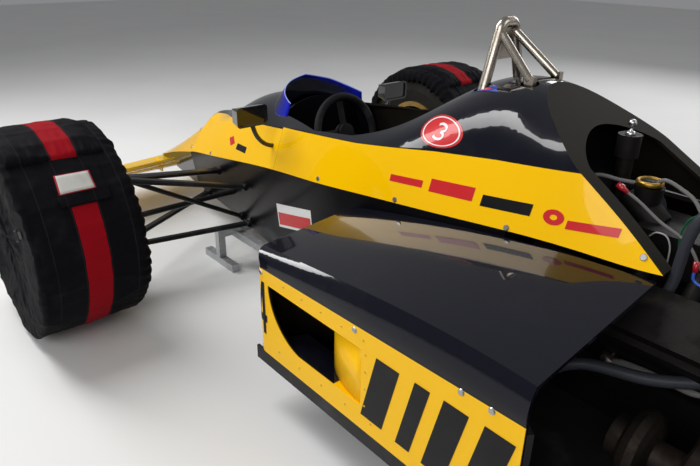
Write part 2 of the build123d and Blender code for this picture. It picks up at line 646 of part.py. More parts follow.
CALIPER_R = DISC_R + 3
for end, axle, hub_z, track, tyre_r, tyre_w, side, word in CORNERS:
    inner, outer = housing_places(track, tyre_w)
    middle = (inner + outer) / 2
    with BuildPart() as upright:
        strut((axle, side * inner, hub_z), (axle, side * outer, hub_z), HOUSING_R)
        if end == "front":
            top, low = king(KING_TOP, side), king(KING_LOW, side)
        else:
            top, low = rear_joints(inner, side)
        way = (Vector(*top) - Vector(*low)).normalized()
        for joint, reach in ((Vector(*top), 1), (Vector(*low), -1)):
            near = joint - way * reach * (EYE_H / 2 + 1)
            far = near - way * reach * 14
            strut(far, near, BOSS_R)
            strut(near, joint + way * reach * (EYE_H / 2 + 4), PIN_R)
            blade(far, (axle, side * middle, hub_z + reach * 42), 58, 22)
        if end == "front":
            arm_end = (axle + ARM_FORWARD, low[1], FLAT_BOTTOM + RACK_H)
            arm_z = arm_end[2] - ROD_BALL - 14
            share = (arm_z - low[2]) / (hub_z - 42 - low[2])
            root_y = low[1] + (side * middle - low[1]) * share
            strut((axle, root_y, arm_z), (arm_end[0] + 2, arm_end[1], arm_z), 12)
            strut((arm_end[0], arm_end[1], arm_z), (arm_end[0], arm_end[1], arm_end[2] + ROD_BALL), PIN_R)
        # caliper over the back of the disc, carried by a bracket on the housing
        disc_out = outer + 8 + DISC_W
        box_between((axle - 152, side * (outer - 16), hub_z - 60),
                    (axle - 84, side * (disc_out + 20), hub_z + 60))
        box_between((axle - 100, side * (outer - 16), hub_z - 24), (axle, side * (outer - 2), hub_z + 24))
        for hub_cut in ((outer, 88, disc_out + 60), (outer + 3, CALIPER_R, disc_out + 5)):
            with BuildSketch(Plane(origin=(axle, side * hub_cut[0], hub_z), z_dir=(0, side, 0))) as ring:
                Circle(hub_cut[1])
            extrude(ring.sketch, amount=hub_cut[2] - hub_cut[0], mode=Mode.SUBTRACT)
        with BuildSketch(Plane(origin=(axle, side * (outer - 17), hub_z), z_dir=(0, side, 0))) as barrel:
            Circle(250)
            Circle(BEAD_R - RIM_WALL - 5, mode=Mode.SUBTRACT)
        extrude(barrel.sketch, amount=120, mode=Mode.SUBTRACT)
        # bore for the hub's shaft
        with BuildSketch(Plane(origin=(axle, side * (inner - 15), hub_z), z_dir=(0, side, 0))):
            Circle(SHAFT_R + RUNNING_FIT)
        extrude(amount=HOUSING_W + 40, mode=Mode.SUBTRACT)
        with BuildSketch(Plane(origin=(axle, side * (inner - 60), hub_z), z_dir=(0, side, 0))):
            Circle(SHAFT_R + 20)
        extrude(amount=59.5, mode=Mode.SUBTRACT)
    save(upright.part, f"upright_{end}_{word}")

# Front suspension: inner pivots of the arms as station and height, on the side of the tub
UPPER_CHORD = 40
UPPER_THICK = 18
UPPER_FRONT = (205, 188)
UPPER_REAR = (-55, 200)
LOWER_FRONT = (400, 24)
LOWER_REAR = (-20, 24)
PULL_ROD_LOW = (52, 26)
PIVOT_LUG = 15
PIVOT_R = 12
LOWER_CHORD = 30
LOWER_THICK = 16


def tub_half(station, height):
    """Return the half width of the tub at a station and a height over its flat bottom."""
    for ahead, behind in zip(COWL_ROWS, COWL_ROWS[1:]):
        if ahead[0] >= station >= behind[0]:
            share = (ahead[0] - station) / (ahead[0] - behind[0])
            floor_half, chine_half, chine = (a + (b - a) * share for a, b in zip(ahead[1:4], behind[1:4]))
            return floor_half + (chine_half - floor_half) * height / chine
    return COWL_ROWS[-1][1]


with BuildPart() as front_wishbones:
    for side in (1, -1):
        top, low = king(KING_TOP, side), king(KING_LOW, side)
        way = (Vector(*top) - Vector(*low)).normalized()
        for joint, ends, chord, thick in ((top, (UPPER_FRONT, UPPER_REAR), UPPER_CHORD, UPPER_THICK),
                                          (low, (LOWER_FRONT, LOWER_REAR), LOWER_CHORD, LOWER_THICK)):
            strut(Vector(*joint) - way * EYE_H / 2, Vector(*joint) + way * EYE_H / 2, EYE_R)
            for station, height in ends:
                foot = (at(station), side * (tub_half(station, height) + PIVOT_LUG), FLAT_BOTTOM + height)
                blade(joint, foot, chord, thick)
                strut((foot[0] - 20, foot[1], foot[2]), (foot[0] + 20, foot[1], foot[2]), PIVOT_R)
                strut(foot, (foot[0], foot[1] - side * (PIVOT_LUG + 6), foot[2]), PIN_R)
        rod_low = (at(PULL_ROD_LOW[0]), side * (tub_half(*PULL_ROD_LOW) + 8), FLAT_BOTTOM + PULL_ROD_LOW[1])
        strut((top[0] - 4, top[1] - side * 62, top[2] - 16), rod_low, 9)
        strut((rod_low[0] - 12, rod_low[1], rod_low[2]), (rod_low[0] + 12, rod_low[1], rod_low[2]), 14)
    add(monocoque_tub.part, mode=Mode.SUBTRACT)
    for side in (1, -1):
        top, low = king(KING_TOP, side), king(KING_LOW, side)
        way = (Vector(*top) - Vector(*low)).normalized()
        for joint in (top, low):
            with BuildSketch(Plane(origin=Vector(*joint) - way * 30, z_dir=way)):
                Circle(PIN_R + RUNNING_FIT)
            extrude(amount=60, mode=Mode.SUBTRACT)
save(front_wishbones.part, "front_wishbones")

# Steering rack with its two track rods, one sliding bar through the tub
with BuildPart() as steering_rack:
    rack_z = FLAT_BOTTOM + RACK_H
    rod_x = at(TRACK_ROD_STATION)
    eye_y = FRONT_HALF + KING_LOW[1]
    strut((rod_x, -eye_y + ROD_EYE_R, rack_z), (rod_x, eye_y - ROD_EYE_R, rack_z), RACK_TUBE)
    strut((rod_x, -90, rack_z), (rod_x, 90, rack_z), RACK_TUBE + 3)
    for side in (1, -1):
        with BuildSketch(Plane.XY.offset(rack_z - 8)):
            with Locations((rod_x, side * eye_y)):
                Circle(ROD_EYE_R + 7)
        extrude(amount=16)
        with BuildSketch(Plane.XY.offset(rack_z - 9)):
            with Locations((rod_x, side * eye_y)):
                Circle(ROD_EYE_R)
        extrude(amount=18, mode=Mode.SUBTRACT)
save(steering_rack.part, "steering_rack")

# Steering wheel on its column, which leans up towards the driver
WHEEL_R = 125
GRIP_R = 13
wheel_plane = Plane(origin=column_point(WHEEL_STATION), x_dir=(0, 1, 0), z_dir=COLUMN_WAY)
with BuildPart() as steering_wheel:
    with BuildSketch(Plane(origin=wheel_plane.from_local_coords((WHEEL_R, 0, 0)),
                           x_dir=(0, 1, 0), z_dir=wheel_plane.y_dir)):
        Circle(GRIP_R)
    revolve(axis=Axis(wheel_plane.origin, COLUMN_WAY))
    with BuildSketch(wheel_plane.offset(6)):
        Circle(34)
        with PolarLocations(WHEEL_R / 2 + 8, 3, start_angle=90):
            Rectangle(WHEEL_R - 16, 24)
    extrude(amount=5)
    with BuildSketch(wheel_plane.offset(-8)):
        Circle(30)
    extrude(amount=34)
    with BuildSketch(wheel_plane):
        Circle(COLUMN_R)
    extrude(amount=COLUMN_LENGTH)
save(steering_wheel.part, "steering_wheel")


# Seat, one bent shell with raised sides, on the floor of the tub
SEAT_T = 12
SEAT_HALF = 205
SEAT_LINE = ((-600, 150), (-690, 46), (-830, 36), (-905, 120), (-960, 330), (-968, 420))
with BuildPart() as seat:
    with BuildSketch(Plane.XZ.offset(-SEAT_HALF)):
        with BuildLine():
            Polyline(*[(at(x), FLAT_BOTTOM + h) for x, h in SEAT_LINE],
                     *[(at(x) + 9, FLAT_BOTTOM + h + SEAT_T) for x, h in reversed(SEAT_LINE)], close=True)
        make_face()
    extrude(amount=2 * SEAT_HALF)
    for side in (1, -1):
        with BuildSketch(Plane.XZ.offset(-side * SEAT_HALF)):
            with BuildLine():
                Polyline(*[(at(x), FLAT_BOTTOM + h) for x, h in SEAT_LINE], (at(-860), FLAT_BOTTOM + 330),
                         (at(-780), FLAT_BOTTOM + 190), close=True)
            make_face()
        extrude(amount=side * SEAT_T)
    for station in (-690, -830):
        box_between((at(station) - 20, -120, FLAT_BOTTOM + TUB_FLOOR),
                    (at(station) + 20, 120, FLAT_BOTTOM + 50))
save(seat.part, "seat")

# Mirrors on bent stalks from the sides of the cowl
MIRROR = (-280, 330, 540)
MIRROR_SIZE = (48, 118, 68)
MIRROR_FOOT = (-268, 228, 417)
with BuildPart() as mirrors:
    for side in (1, -1):
        with BuildLine() as stalk_line:
            start = (at(MIRROR_FOOT[0]), side * (MIRROR_FOOT[1] - 6), FLAT_BOTTOM + MIRROR_FOOT[2] - 4)
            elbow = (at(MIRROR_FOOT[0]), side * (MIRROR_FOOT[1] + 50), FLAT_BOTTOM + MIRROR_FOOT[2] + 22)
            end = (at(MIRROR[0]), side * (MIRROR[1] - 8), FLAT_BOTTOM + MIRROR[2] - 24)
            Spline(start, elbow, end, tangents=((0, side, 0.1), (0, side * 0.3, 1)))
        with BuildSketch(Plane(origin=stalk_line.line @ 0, z_dir=stalk_line.line % 0)):
            Circle(8)
        sweep(path=stalk_line.line)
        with BuildSketch(Plane(origin=(at(MIRROR[0]) - MIRROR_SIZE[0] / 2, side * MIRROR[1],
                                       FLAT_BOTTOM + MIRROR[2]), x_dir=(0, 1, 0), z_dir=(1, 0, 0))):
            RectangleRounded(MIRROR_SIZE[1], MIRROR_SIZE[2], 12)
        extrude(amount=MIRROR_SIZE[0], taper=12)
        with BuildSketch(Plane(origin=(at(MIRROR[0]) - MIRROR_SIZE[0] / 2, side * MIRROR[1],
                                       FLAT_BOTTOM + MIRROR[2]), x_dir=(0, 1, 0), z_dir=(1, 0, 0))):
            RectangleRounded(MIRROR_SIZE[1] - 12, MIRROR_SIZE[2] - 12, 8)
        extrude(amount=6, mode=Mode.SUBTRACT)
    add(shell_loft(COWL_ROWS), mode=Mode.SUBTRACT)
save(mirrors.part, "mirrors")


# Wings. Columns of a section: half span, station of the leading edge, its height, chord, nose down angle
def wing_loft(rows, depth, side=1):
    """Add a wing through some sections, its hollow side up so that it presses the car down."""
    sections = []
    for span, station, height, chord, angle in rows:
        nose_at = (at(station), side * span, FLAT_BOTTOM + height)
        with BuildSketch(Plane(origin=nose_at, x_dir=(-1, 0, 0), z_dir=(0, 1, 0))) as section:
            with BuildLine():
                ThreePointArc((0, 0), (chord * 0.4, chord * -depth * 0.25), (chord, 3))
                Line((chord, 3), (chord, 0))
                ThreePointArc((chord, 0), (chord * 0.36, chord * -depth), (0, 0))
            make_face()
        sections.append(section.sketch.rotate(Axis((at(station), 0, FLAT_BOTTOM + height), (0, 1, 0)), angle))
    loft(sections, ruled=True)


FRONT_WING = ((20, 1098, 8, 290, 8), (290, 1060, 8, 270, 10), (744, 990, 8, 250, 10))
FRONT_FLAP = ((150, 815, 62, 110, 24), (744, 752, 66, 110, 24))
FRONT_PLATE = (744, 690, 1040)
with BuildPart() as front_wing:
    for side in (1, -1):
        wing_loft(FRONT_WING, 0.13, side)
        wing_loft(FRONT_FLAP, 0.12, side)
        box_between((at(FRONT_PLATE[1]), side * FRONT_PLATE[0], FLAT_BOTTOM - 70),
                    (at(FRONT_PLATE[2]), side * (FRONT_PLATE[0] + 8), FLAT_BOTTOM + 130))
        box_between((at(800), side * 180, FLAT_BOTTOM + 20),
                    (at(860), side * 184, FLAT_BOTTOM + 80))
    add(nose_cone.part, mode=Mode.SUBTRACT)
save(front_wing.part, "front_wing")

# Engine: a vee block behind the tank, with its heads, cam covers, plenum and runners
ENGINE_FRONT = TUB_REAR - SEAT_FIT
ENGINE_REAR = -1880
BANK_TILT = 40
RUNNERS = 3
with BuildPart() as engine:
    box_between((at(ENGINE_FRONT), -130, FLAT_BOTTOM + FLOOR_T), (at(ENGINE_REAR), 130, FLAT_BOTTOM + 285))
    for side in (1, -1):
        for low, high, half_w, inset in ((150, 300, 62, 0), (300, 372, 70, 14), (372, 404, 56, 22)):
            bank_at = (at(ENGINE_FRONT - 20 - inset), 0, FLAT_BOTTOM + 90)
            with BuildSketch(Plane(origin=bank_at, x_dir=(0, 1, 0), z_dir=(-1, 0, 0))) as block:
                with Locations((0, -(low + high) / 2)):
                    Rectangle(2 * half_w, high - low)
            turned = block.sketch.rotate(Axis((0, 0, FLAT_BOTTOM + 90), (1, 0, 0)), -side * BANK_TILT)
            extrude(turned, amount=ENGINE_FRONT - ENGINE_REAR - 40 - 2 * inset)
    box_between((at(-1500), -78, FLAT_BOTTOM + 400), (at(-1830), 78, FLAT_BOTTOM + 490))
    for run in range(RUNNERS):
        station = -1550 - run * 115
        for side in (1, -1):
            strut((at(station), side * 60, FLAT_BOTTOM + 420),
                  (at(station), side * 170, FLAT_BOTTOM + 330), 22)
    strut((at(-1520), 0, FLAT_BOTTOM + 470), (at(-1440), 0, FLAT_BOTTOM + 530), 38)
    strut((at(-1478), 0, FLAT_BOTTOM + 500), (at(-1482), 0, FLAT_BOTTOM + 562), 34)
    strut((at(-1390), -50, FLAT_BOTTOM + 285), (at(-1390), -50, FLAT_BOTTOM + 620), 20)
    strut((at(-1390), -50, FLAT_BOTTOM + 600), (at(-1390), -50, FLAT_BOTTOM + 655), 28)
save(engine.part, "engine")

# Gearbox behind it, its case sloping down to the tail, with a round cover over the final drive
GEARBOX_ROWS = (
    (ENGINE_REAR - SEAT_FIT, 140, 30, 300),
    (-2060, 96, 45, 290),
    (-2560, 100, 30, 310),
    (-2960, 74, 126, 318),
)
with BuildPart() as gearbox:
    for station, half, low, high in GEARBOX_ROWS:
        with BuildSketch(cross_plane(station)):
            with Locations((0, (low + high) / 2)):
                Rectangle(2 * half, high - low)
    loft(ruled=True)
    strut((REAR_AXLE, -GEARBOX_SIDE, REAR_HUB_Z), (REAR_AXLE, GEARBOX_SIDE, REAR_HUB_Z), 84)
    for side in (1, -1):
        with BuildSketch(Plane(origin=(REAR_AXLE, side * (SHAFT_END - 6), REAR_HUB_Z), z_dir=(0, side, 0))):
            Circle(DRIVESHAFT_R + RUNNING_FIT)
        extrude(amount=60, mode=Mode.SUBTRACT)
save(gearbox.part, "gearbox")

# Rear wing on two posts that stand on the gearbox
REAR_WING_HALF = 490
REAR_MAIN = ((-REAR_WING_HALF, -2900, 800, 230, 10), (REAR_WING_HALF, -2900, 800, 230, 10))
REAR_FLAP = ((-REAR_WING_HALF, -3085, 850, 140, 30), (REAR_WING_HALF, -3085, 850, 140, 30))
REAR_PLATE = (-3220, -2860, 600, 940)
POST_HALF = 6
POST_PLACE = 66
POST_FOOT = 300
with BuildPart() as rear_wing:
    wing_loft(REAR_MAIN, 0.15)
    wing_loft(REAR_FLAP, 0.12)
    for side in (1, -1):
        box_between((at(REAR_PLATE[0]), side * REAR_WING_HALF, FLAT_BOTTOM + REAR_PLATE[2]),
                    (at(REAR_PLATE[1]), side * (REAR_WING_HALF + 8), FLAT_BOTTOM + REAR_PLATE[3]))
        with BuildSketch(Plane.XZ.offset(side * POST_PLACE - POST_HALF)):
            with BuildLine():
                Polyline((at(-2780), FLAT_BOTTOM + POST_FOOT), (at(-2930), FLAT_BOTTOM + POST_FOOT),
                         (at(-3050), FLAT_BOTTOM + 800), (at(-2930), FLAT_BOTTOM + 790), close=True)
            make_face()
        extrude(amount=2 * POST_HALF)
    add(gearbox.part, mode=Mode.SUBTRACT)
save(rear_wing.part, "rear_wing")

# Rear wishbones. Columns: outer joint (1 the upper), station, half width and height of the inner end
REAR_ARMS = ((1, -2480, 96, 262), (1, -2840, 82, 262), (0, -2420, 96, 76), (0, -2800, 84, 100))
with BuildPart() as rear_wishbones:
    inner = housing_places(REAR_TRACK, REAR_TYRE_W)[0]
    for side in (1, -1):
        joints = rear_joints(inner, side)
        way = (Vector(*joints[0]) - Vector(*joints[1])).normalized()
        for joint in joints:
            strut(Vector(*joint) - way * EYE_H / 2, Vector(*joint) + way * EYE_H / 2, EYE_R)
        for upper, station, half, height in REAR_ARMS:
            blade(joints[0 if upper else 1], (at(station), side * (half - 20), FLAT_BOTTOM + height), 34, 16)
        strut((REAR_AXLE - 6, joints[0][1] - side * 70, joints[0][2] - 14),
              (at(-2590), side * 80, FLAT_BOTTOM + 80), 9)
    add(gearbox.part, mode=Mode.SUBTRACT)
    for side in (1, -1):
        joints = rear_joints(inner, side)
        way = (Vector(*joints[0]) - Vector(*joints[1])).normalized()
        for joint in joints:
            with BuildSketch(Plane(origin=Vector(*joint) - way * 30, z_dir=way)):
                Circle(PIN_R + RUNNING_FIT)
            extrude(amount=60, mode=Mode.SUBTRACT)
save(rear_wishbones.part, "rear_wishbones")

# Turbochargers, one low on each side of the engine: compressor, core, turbine and tail pipe
TURBO = (-1770, 330, 140)
TAIL_R = 41
with BuildPart() as turbochargers:
    for side in (1, -1):
        turbo_at = (at(TURBO[0]), side * TURBO[1], FLAT_BOTTOM + TURBO[2])
        axis = Axis(turbo_at, (1, 0, 0))
        with BuildSketch(Plane(origin=turbo_at, x_dir=(1, 0, 0), z_dir=(0, -1, 0))):
            with BuildLine():
                Polyline((110, 0), (110, 48), (84, 48), (80, 66), (72, 78), (56, 84), (40, 78), (32, 62),
                         (26, 34), (-26, 34), (-32, 56), (-40, 68), (-56, 72), (-70, 66), (-78, 52),
                         (-110, 48), (-110, 0), close=True)
            make_face()
        revolve(axis=axis)
        with BuildSketch(Plane(origin=(turbo_at[0] + 60, turbo_at[1], turbo_at[2]), z_dir=(1, 0, 0))):
            Circle(40)
        extrude(amount=80, mode=Mode.SUBTRACT)
        bend = (turbo_at[0] - 230, turbo_at[1], turbo_at[2])
        strut((turbo_at[0] - 90, turbo_at[1], turbo_at[2]), bend, TAIL_R)
        with Locations(bend):
            Sphere(TAIL_R)
        strut(bend, (turbo_at[0] - 400, turbo_at[1] - side * 40, turbo_at[2] + 70), TAIL_R)
        strut((turbo_at[0] - 50, turbo_at[1], turbo_at[2]),
              (turbo_at[0] - 50, side * 232, turbo_at[2] + 70), 26)
        strut(turbo_at, (turbo_at[0], turbo_at[1], FLAT_BOTTOM + FLOOR_T), 14)
    add(engine.part, mode=Mode.SUBTRACT)
save(turbochargers.part, "turbochargers")

# Radiators, one upright core across each sidepod, turned towards the mouth
RADIATOR = (-1400, 468, 460, 230, 70)
with BuildPart() as radiators:
    for side in (1, -1):
        with BuildSketch(Plane.XY.offset(FLAT_BOTTOM + FLOOR_T)):
            with Locations(Location((at(RADIATOR[0]), side * RADIATOR[1], 0), side * 146)):
                Rectangle(RADIATOR[2], RADIATOR[4])
        extrude(amount=RADIATOR[3])
save(radiators.part, "radiators")

# Engine hoses. Columns: radius, bend radius, sides of the car, then places as station, side, height
HOSES = (
    (30, 70, (1, -1), (-1756, 66, 480), (-1748, 130, 620), (-1700, 215, 606), (-1684, 294, 440),
     (-1704, 334, 210)),
    (16, 40, (1, -1), (-1500, 420, 236), (-1560, 330, 264), (-1700, 290, 276), (-1800, 232, 300)),
    (14, 30, (1, -1), (-1340, 150, 380), (-1350, 168, 490), (-1470, 160, 490), (-1500, 70, 440)),
    (8, 20, (1,), (-1390, -50, 640), (-1425, 50, 620), (-1460, 110, 560), (-1500, 70, 470)),
)
with BuildPart() as engine_hoses:
    for radius, bend, sides, *places in HOSES:
        for side in sides:
            with BuildLine() as run_line:
                FilletPolyline(*[(at(x), side * y, FLAT_BOTTOM + h) for x, y, h in places], radius=bend)
            with BuildSketch(Plane(origin=run_line.line @ 0, z_dir=run_line.line % 0)):
                Circle(radius)
            sweep(path=run_line.line)
    for other in (engine, turbochargers, radiators):
        add(other.part, mode=Mode.SUBTRACT)
save(engine_hoses.part, "engine_hoses")

# Paddock stands of square tube. Columns: name, stations of the front and rear cross bars
STAND_TUBE = 30
STAND_HALF = 300
STAND_RAIL = 240
STAND_FOOT = 220
STANDS = (("front_stand", 40, -420), ("rear_stand", -1750, -2150))
for name, front, rear in STANDS:
    top = FLAT_BOTTOM - SEAT_FIT
    wide = STAND_TUBE / 2
    with BuildPart() as stand:
        for station in (front, rear):
            box_between((at(station) - wide, -STAND_HALF - wide, top - STAND_TUBE),
                        (at(station) + wide, STAND_HALF + wide, top))
            for side in (1, -1):
                box_between((at(station) - wide, side * STAND_HALF - wide, 0),
                            (at(station) + wide, side * STAND_HALF + wide, top))
                box_between((at(station) - STAND_FOOT / 2, side * STAND_HALF - wide, 0),
                            (at(station) + STAND_FOOT / 2, side * STAND_HALF + wide, STAND_TUBE))
        for side in (1, -1):
            box_between((at(rear), side * STAND_RAIL - wide, top - STAND_TUBE),
                        (at(front), side * STAND_RAIL + wide, top))
    save(stand.part, name)
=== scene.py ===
"""Looks of an open wheel racing car on two paddock stands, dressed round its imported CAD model.

Metres. +X is forward, +Y is the car's left, +Z is up. Stations along the car are measured from the front
axle, forward positive, and heights on the car from its flat bottom, both in metres.
"""

import logging
import math
from dataclasses import dataclass, field
from enum import Enum
from functools import cache
from typing import Callable, Sequence

import bmesh
import bpy
from mathutils import Matrix, Vector
from mathutils.bvhtree import BVHTree
from mathutils.noise import noise


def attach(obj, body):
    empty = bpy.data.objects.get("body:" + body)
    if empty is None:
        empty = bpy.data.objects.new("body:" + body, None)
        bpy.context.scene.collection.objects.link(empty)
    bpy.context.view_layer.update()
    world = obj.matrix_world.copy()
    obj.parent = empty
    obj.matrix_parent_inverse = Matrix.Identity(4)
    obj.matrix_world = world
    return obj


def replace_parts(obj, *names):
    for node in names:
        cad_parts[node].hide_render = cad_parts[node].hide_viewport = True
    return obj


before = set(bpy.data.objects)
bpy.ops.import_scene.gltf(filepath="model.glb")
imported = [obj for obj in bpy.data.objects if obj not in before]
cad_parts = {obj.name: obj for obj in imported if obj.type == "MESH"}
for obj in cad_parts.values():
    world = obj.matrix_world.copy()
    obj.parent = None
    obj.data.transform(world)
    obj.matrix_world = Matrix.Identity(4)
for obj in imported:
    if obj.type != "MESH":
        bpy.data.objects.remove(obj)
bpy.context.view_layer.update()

LOG = logging.getLogger("racing_car")
FRONT_AXLE = 1.060
FLAT_BOTTOM = 0.147
PAINT_EDGE = 0.0006
SIDES = {"left": 1, "right": -1}
Colour = tuple[float, float, float]
Flat = tuple[float, float]
Face = tuple[int, ...]
Shape = tuple[Sequence[Vector], Sequence[Sequence[int]]]


def at(station: float) -> float:
    """Place along X of a station."""
    return FRONT_AXLE + station


def up(height: float) -> float:
    """Place along Z of a height over the flat bottom."""
    return FLAT_BOTTOM + height


def spot(station: float, across: float, height: float) -> Vector:
    """Place of a station, a distance from the car's middle and a height over the flat bottom."""
    return Vector((at(station), across, up(height)))


# ---------------------------------------------------------------- shader maths


def operator(operation: str, swapped: bool = False) -> Callable[..., "Value"]:
    """A method of Value that adds a Math node.

    Args:
        operation: the node's operation.
        swapped: whether the other value comes first.

    Returns:
        The method.
    """

    def apply(self: "Value", *others: "Value | float") -> "Value":
        """Add the node."""
        given = [*others, self] if swapped else [self, *others]
        return self.graph.node("ShaderNodeMath", {"operation": operation}, given)

    return apply


class Value:
    """A node socket that can be used in Python arithmetic, which adds Math nodes for numbers."""

    def __init__(self, graph: "Graph", socket: bpy.types.NodeSocket) -> None:
        """Wrap a socket of a graph."""
        self.graph = graph
        self.socket = socket

    __add__ = __radd__ = operator("ADD")
    __sub__ = operator("SUBTRACT")
    __rsub__ = operator("SUBTRACT", swapped=True)
    __mul__ = __rmul__ = operator("MULTIPLY")
    __truediv__ = operator("DIVIDE")
    __abs__ = operator("ABSOLUTE")
    __gt__ = operator("GREATER_THAN")
    sin = operator("SINE")
    larger = operator("MAXIMUM")
    power = operator("POWER")

    def over(self) -> "Value":
        """1 where the value is over zero and 0 under it, with the edge of a paint line between."""
        return self.step(-PAINT_EDGE, PAINT_EDGE)

    def step(self, low: float, high: float) -> "Value":
        """Smooth rise from 0 at low to 1 at high."""
        return self.graph.node("ShaderNodeMapRange", {"interpolation_type": "SMOOTHSTEP"},
                               {"Value": self, "From Min": low, "From Max": high})


class Graph:
    """The node tree of a material, with one method that adds any node."""

    def __init__(self, name: str) -> None:
        """Start an empty material."""
        self.material = bpy.data.materials.new(name)
        self.material.use_nodes = True
        self.tree = self.material.node_tree
        self.tree.nodes.clear()

    def node(self, kind: str, settings: dict | None = None, inputs: Sequence | dict | None = None,
             output: int | str = 0) -> Value:
        """Add a node.

        Args:
            kind: the node's type.
            settings: properties set first; "stops" fills a ramp.
            inputs: values or links, by place or by name.
            output: which output to return.

        Returns:
            The chosen output.
        """
        made = self.tree.nodes.new(kind)
        for name, value in (settings or {}).items():
            if name == "stops":
                ramp = made.color_ramp
                while len(ramp.elements) < len(value):
                    ramp.elements.new(1.0)
                for element, (place, colour) in zip(ramp.elements, value):
                    element.position = place
                    element.color = (*colour, 1.0) if isinstance(colour, tuple) else (colour, colour, colour, 1.0)
            else:
                setattr(made, name, value)
        pairs = inputs.items() if isinstance(inputs, dict) else enumerate(inputs or [])
        for key, value in pairs:
            socket = made.inputs[key]
            if isinstance(value, Value):
                self.tree.links.new(value.socket, socket)
            elif isinstance(value, tuple) and len(value) == 3 and socket.type == "RGBA":
                socket.default_value = (*value, 1.0)
            else:
                socket.default_value = value
        return Value(self, made.outputs[output])

    def coordinates(self, kind: str) -> tuple[Value, Value, Value]:
        """Three values of the coordinate node: Object places, Normal directions or the piece's own UV map."""
        where = self.node("ShaderNodeTexCoord", output=kind)
        split = self.node("ShaderNodeSeparateXYZ", None, [where])
        return tuple(Value(self, socket) for socket in split.socket.node.outputs)

    def noise(self, scale: float, detail: float = 3.0, roughness: float = 0.5,
              stretch: Sequence[float] = (1, 1, 1)) -> Value:
        """Noise over object coordinates, stretched by a factor on each axis."""
        where = self.node("ShaderNodeTexCoord", output="Object")
        mapped = self.node("ShaderNodeMapping", None, {"Vector": where, "Scale": tuple(stretch)})
        return self.node("ShaderNodeTexNoise", None,
                         {"Vector": mapped, "Scale": scale, "Detail": detail, "Roughness": roughness})

    def blend(self, factor: Value | float, low: Value | Colour, high: Value | Colour) -> Value:
        """Mix two colours."""
        return self.node("ShaderNodeMix", {"data_type": "RGBA"}, {0: factor, 6: low, 7: high}, output=2)

    def bump(self, height: Value, distance: float, strength: float = 1.0) -> Value:
        """A normal from a height."""
        return self.node("ShaderNodeBump", None, {"Height": height, "Distance": distance, "Strength": strength})

    def finish(self, **sockets: Value | float | tuple) -> bpy.types.Material:
        """Add the shader with its sockets, given by name with underscores for spaces."""
        named = {}
        for name, value in sockets.items():
            label = name.replace("_", " ")
            if label in ("Base Color", "Emission Color") and isinstance(value, tuple):
                value = (*value, 1.0)
            named[label] = value
        shader = self.node("ShaderNodeBsdfPrincipled", None, named)
        shown = self.tree.nodes.new("ShaderNodeOutputMaterial")
        self.tree.links.new(shader.socket, shown.inputs["Surface"])
        return self.material


# ---------------------------------------------------------------- finishes


@dataclass(frozen=True)
class Finish:
    """Base of the finishes, each of which makes one named material."""

    name: str

    def material(self) -> bpy.types.Material:
        """Make the material."""
        raise NotImplementedError


@cache
def made_of(finish: Finish) -> bpy.types.Material:
    """The material of a finish, made once."""
    return finish.material()


@dataclass(frozen=True)
class Gloss(Finish):
    """Gloss paint or polished composite, with faint waviness and dust."""

    colour: Colour
    roughness: float = 0.16
    coat: float = 1.0
    dust: float = 0.05

    def material(self) -> bpy.types.Material:
        """Make the material."""
        g = Graph(self.name)
        haze = g.noise(9.0, 4.0, 0.6)
        grain = g.noise(160.0, 2.0, 0.5)
        dusty = g.blend(haze.step(0.4, 0.9) * self.dust, self.colour, (0.20, 0.19, 0.18))
        return g.finish(Base_Color=dusty, Roughness=haze * 0.08 + self.roughness, Coat_Weight=self.coat,
                        Coat_Roughness=0.04, Specular_IOR_Level=0.12,
                        Normal=g.bump(grain + haze * 3.0, 0.0003, 0.25))


@dataclass(frozen=True)
class Metal(Finish):
    """Bare, plated or machined metal with brushing and stains."""

    colour: Colour
    roughness: float = 0.32
    stain: Colour = (0.1, 0.09, 0.08)
    stain_share: float = 0.25
    grain: float = 120.0
    depth: float = 0.0004

    def material(self) -> bpy.types.Material:
        """Make the material."""
        g = Graph(self.name)
        cloud = g.noise(14.0, 5.0, 0.62)
        fine = g.noise(self.grain, 3.0, 0.6, (1.0, 4.0, 4.0))
        mask = cloud.step(0.45, 0.75) * self.stain_share
        colour = g.blend(mask, self.colour, self.stain)
        rough = fine * 0.16 + mask * 0.5 + (self.roughness - 0.05)
        return g.finish(Base_Color=colour, Metallic=1.0, Roughness=rough,
                        Normal=g.bump(fine + cloud * 0.6, self.depth, 0.35))


@dataclass(frozen=True)
class Satin(Finish):
    """Painted, moulded or rubber surface, not metallic, with a fine grain."""

    colour: Colour
    roughness: float = 0.5
    grain: float = 300.0
    depth: float = 0.0004
    worn: Colour = (0.2, 0.2, 0.2)
    wear: float = 0.12

    def material(self) -> bpy.types.Material:
        """Make the material."""
        g = Graph(self.name)
        cloud = g.noise(11.0, 5.0, 0.6)
        fine = g.noise(self.grain, 2.0, 0.5)
        colour = g.blend(cloud.step(0.5, 0.8) * self.wear, self.colour, self.worn)
        return g.finish(Base_Color=colour, Roughness=fine * 0.14 + (self.roughness - 0.07), Specular_IOR_Level=0.18,
                        Normal=g.bump(fine + cloud * 0.8, self.depth, 0.4))


@dataclass(frozen=True)
class Zinc(Finish):
    """Galvanised steel with its spangle."""

    name: str = "galvanised_steel"

    def material(self) -> bpy.types.Material:
        """Make the material."""
        g = Graph(self.name)
        where = g.node("ShaderNodeTexCoord", output="Object")
        spangle = g.node("ShaderNodeTexVoronoi", None, {"Vector": where, "Scale": 90.0}, output="Color")
        tone = g.node("ShaderNodeRGBToBW", None, [spangle])
        cloud = g.noise(8.0, 4.0)
        colour = g.blend(tone * 0.5 + cloud * 0.5, (0.36, 0.37, 0.38), (0.62, 0.63, 0.64))
        return g.finish(Base_Color=colour, Metallic=0.85, Roughness=tone * 0.2 + 0.35,
                        Normal=g.bump(cloud, 0.0006, 0.4))


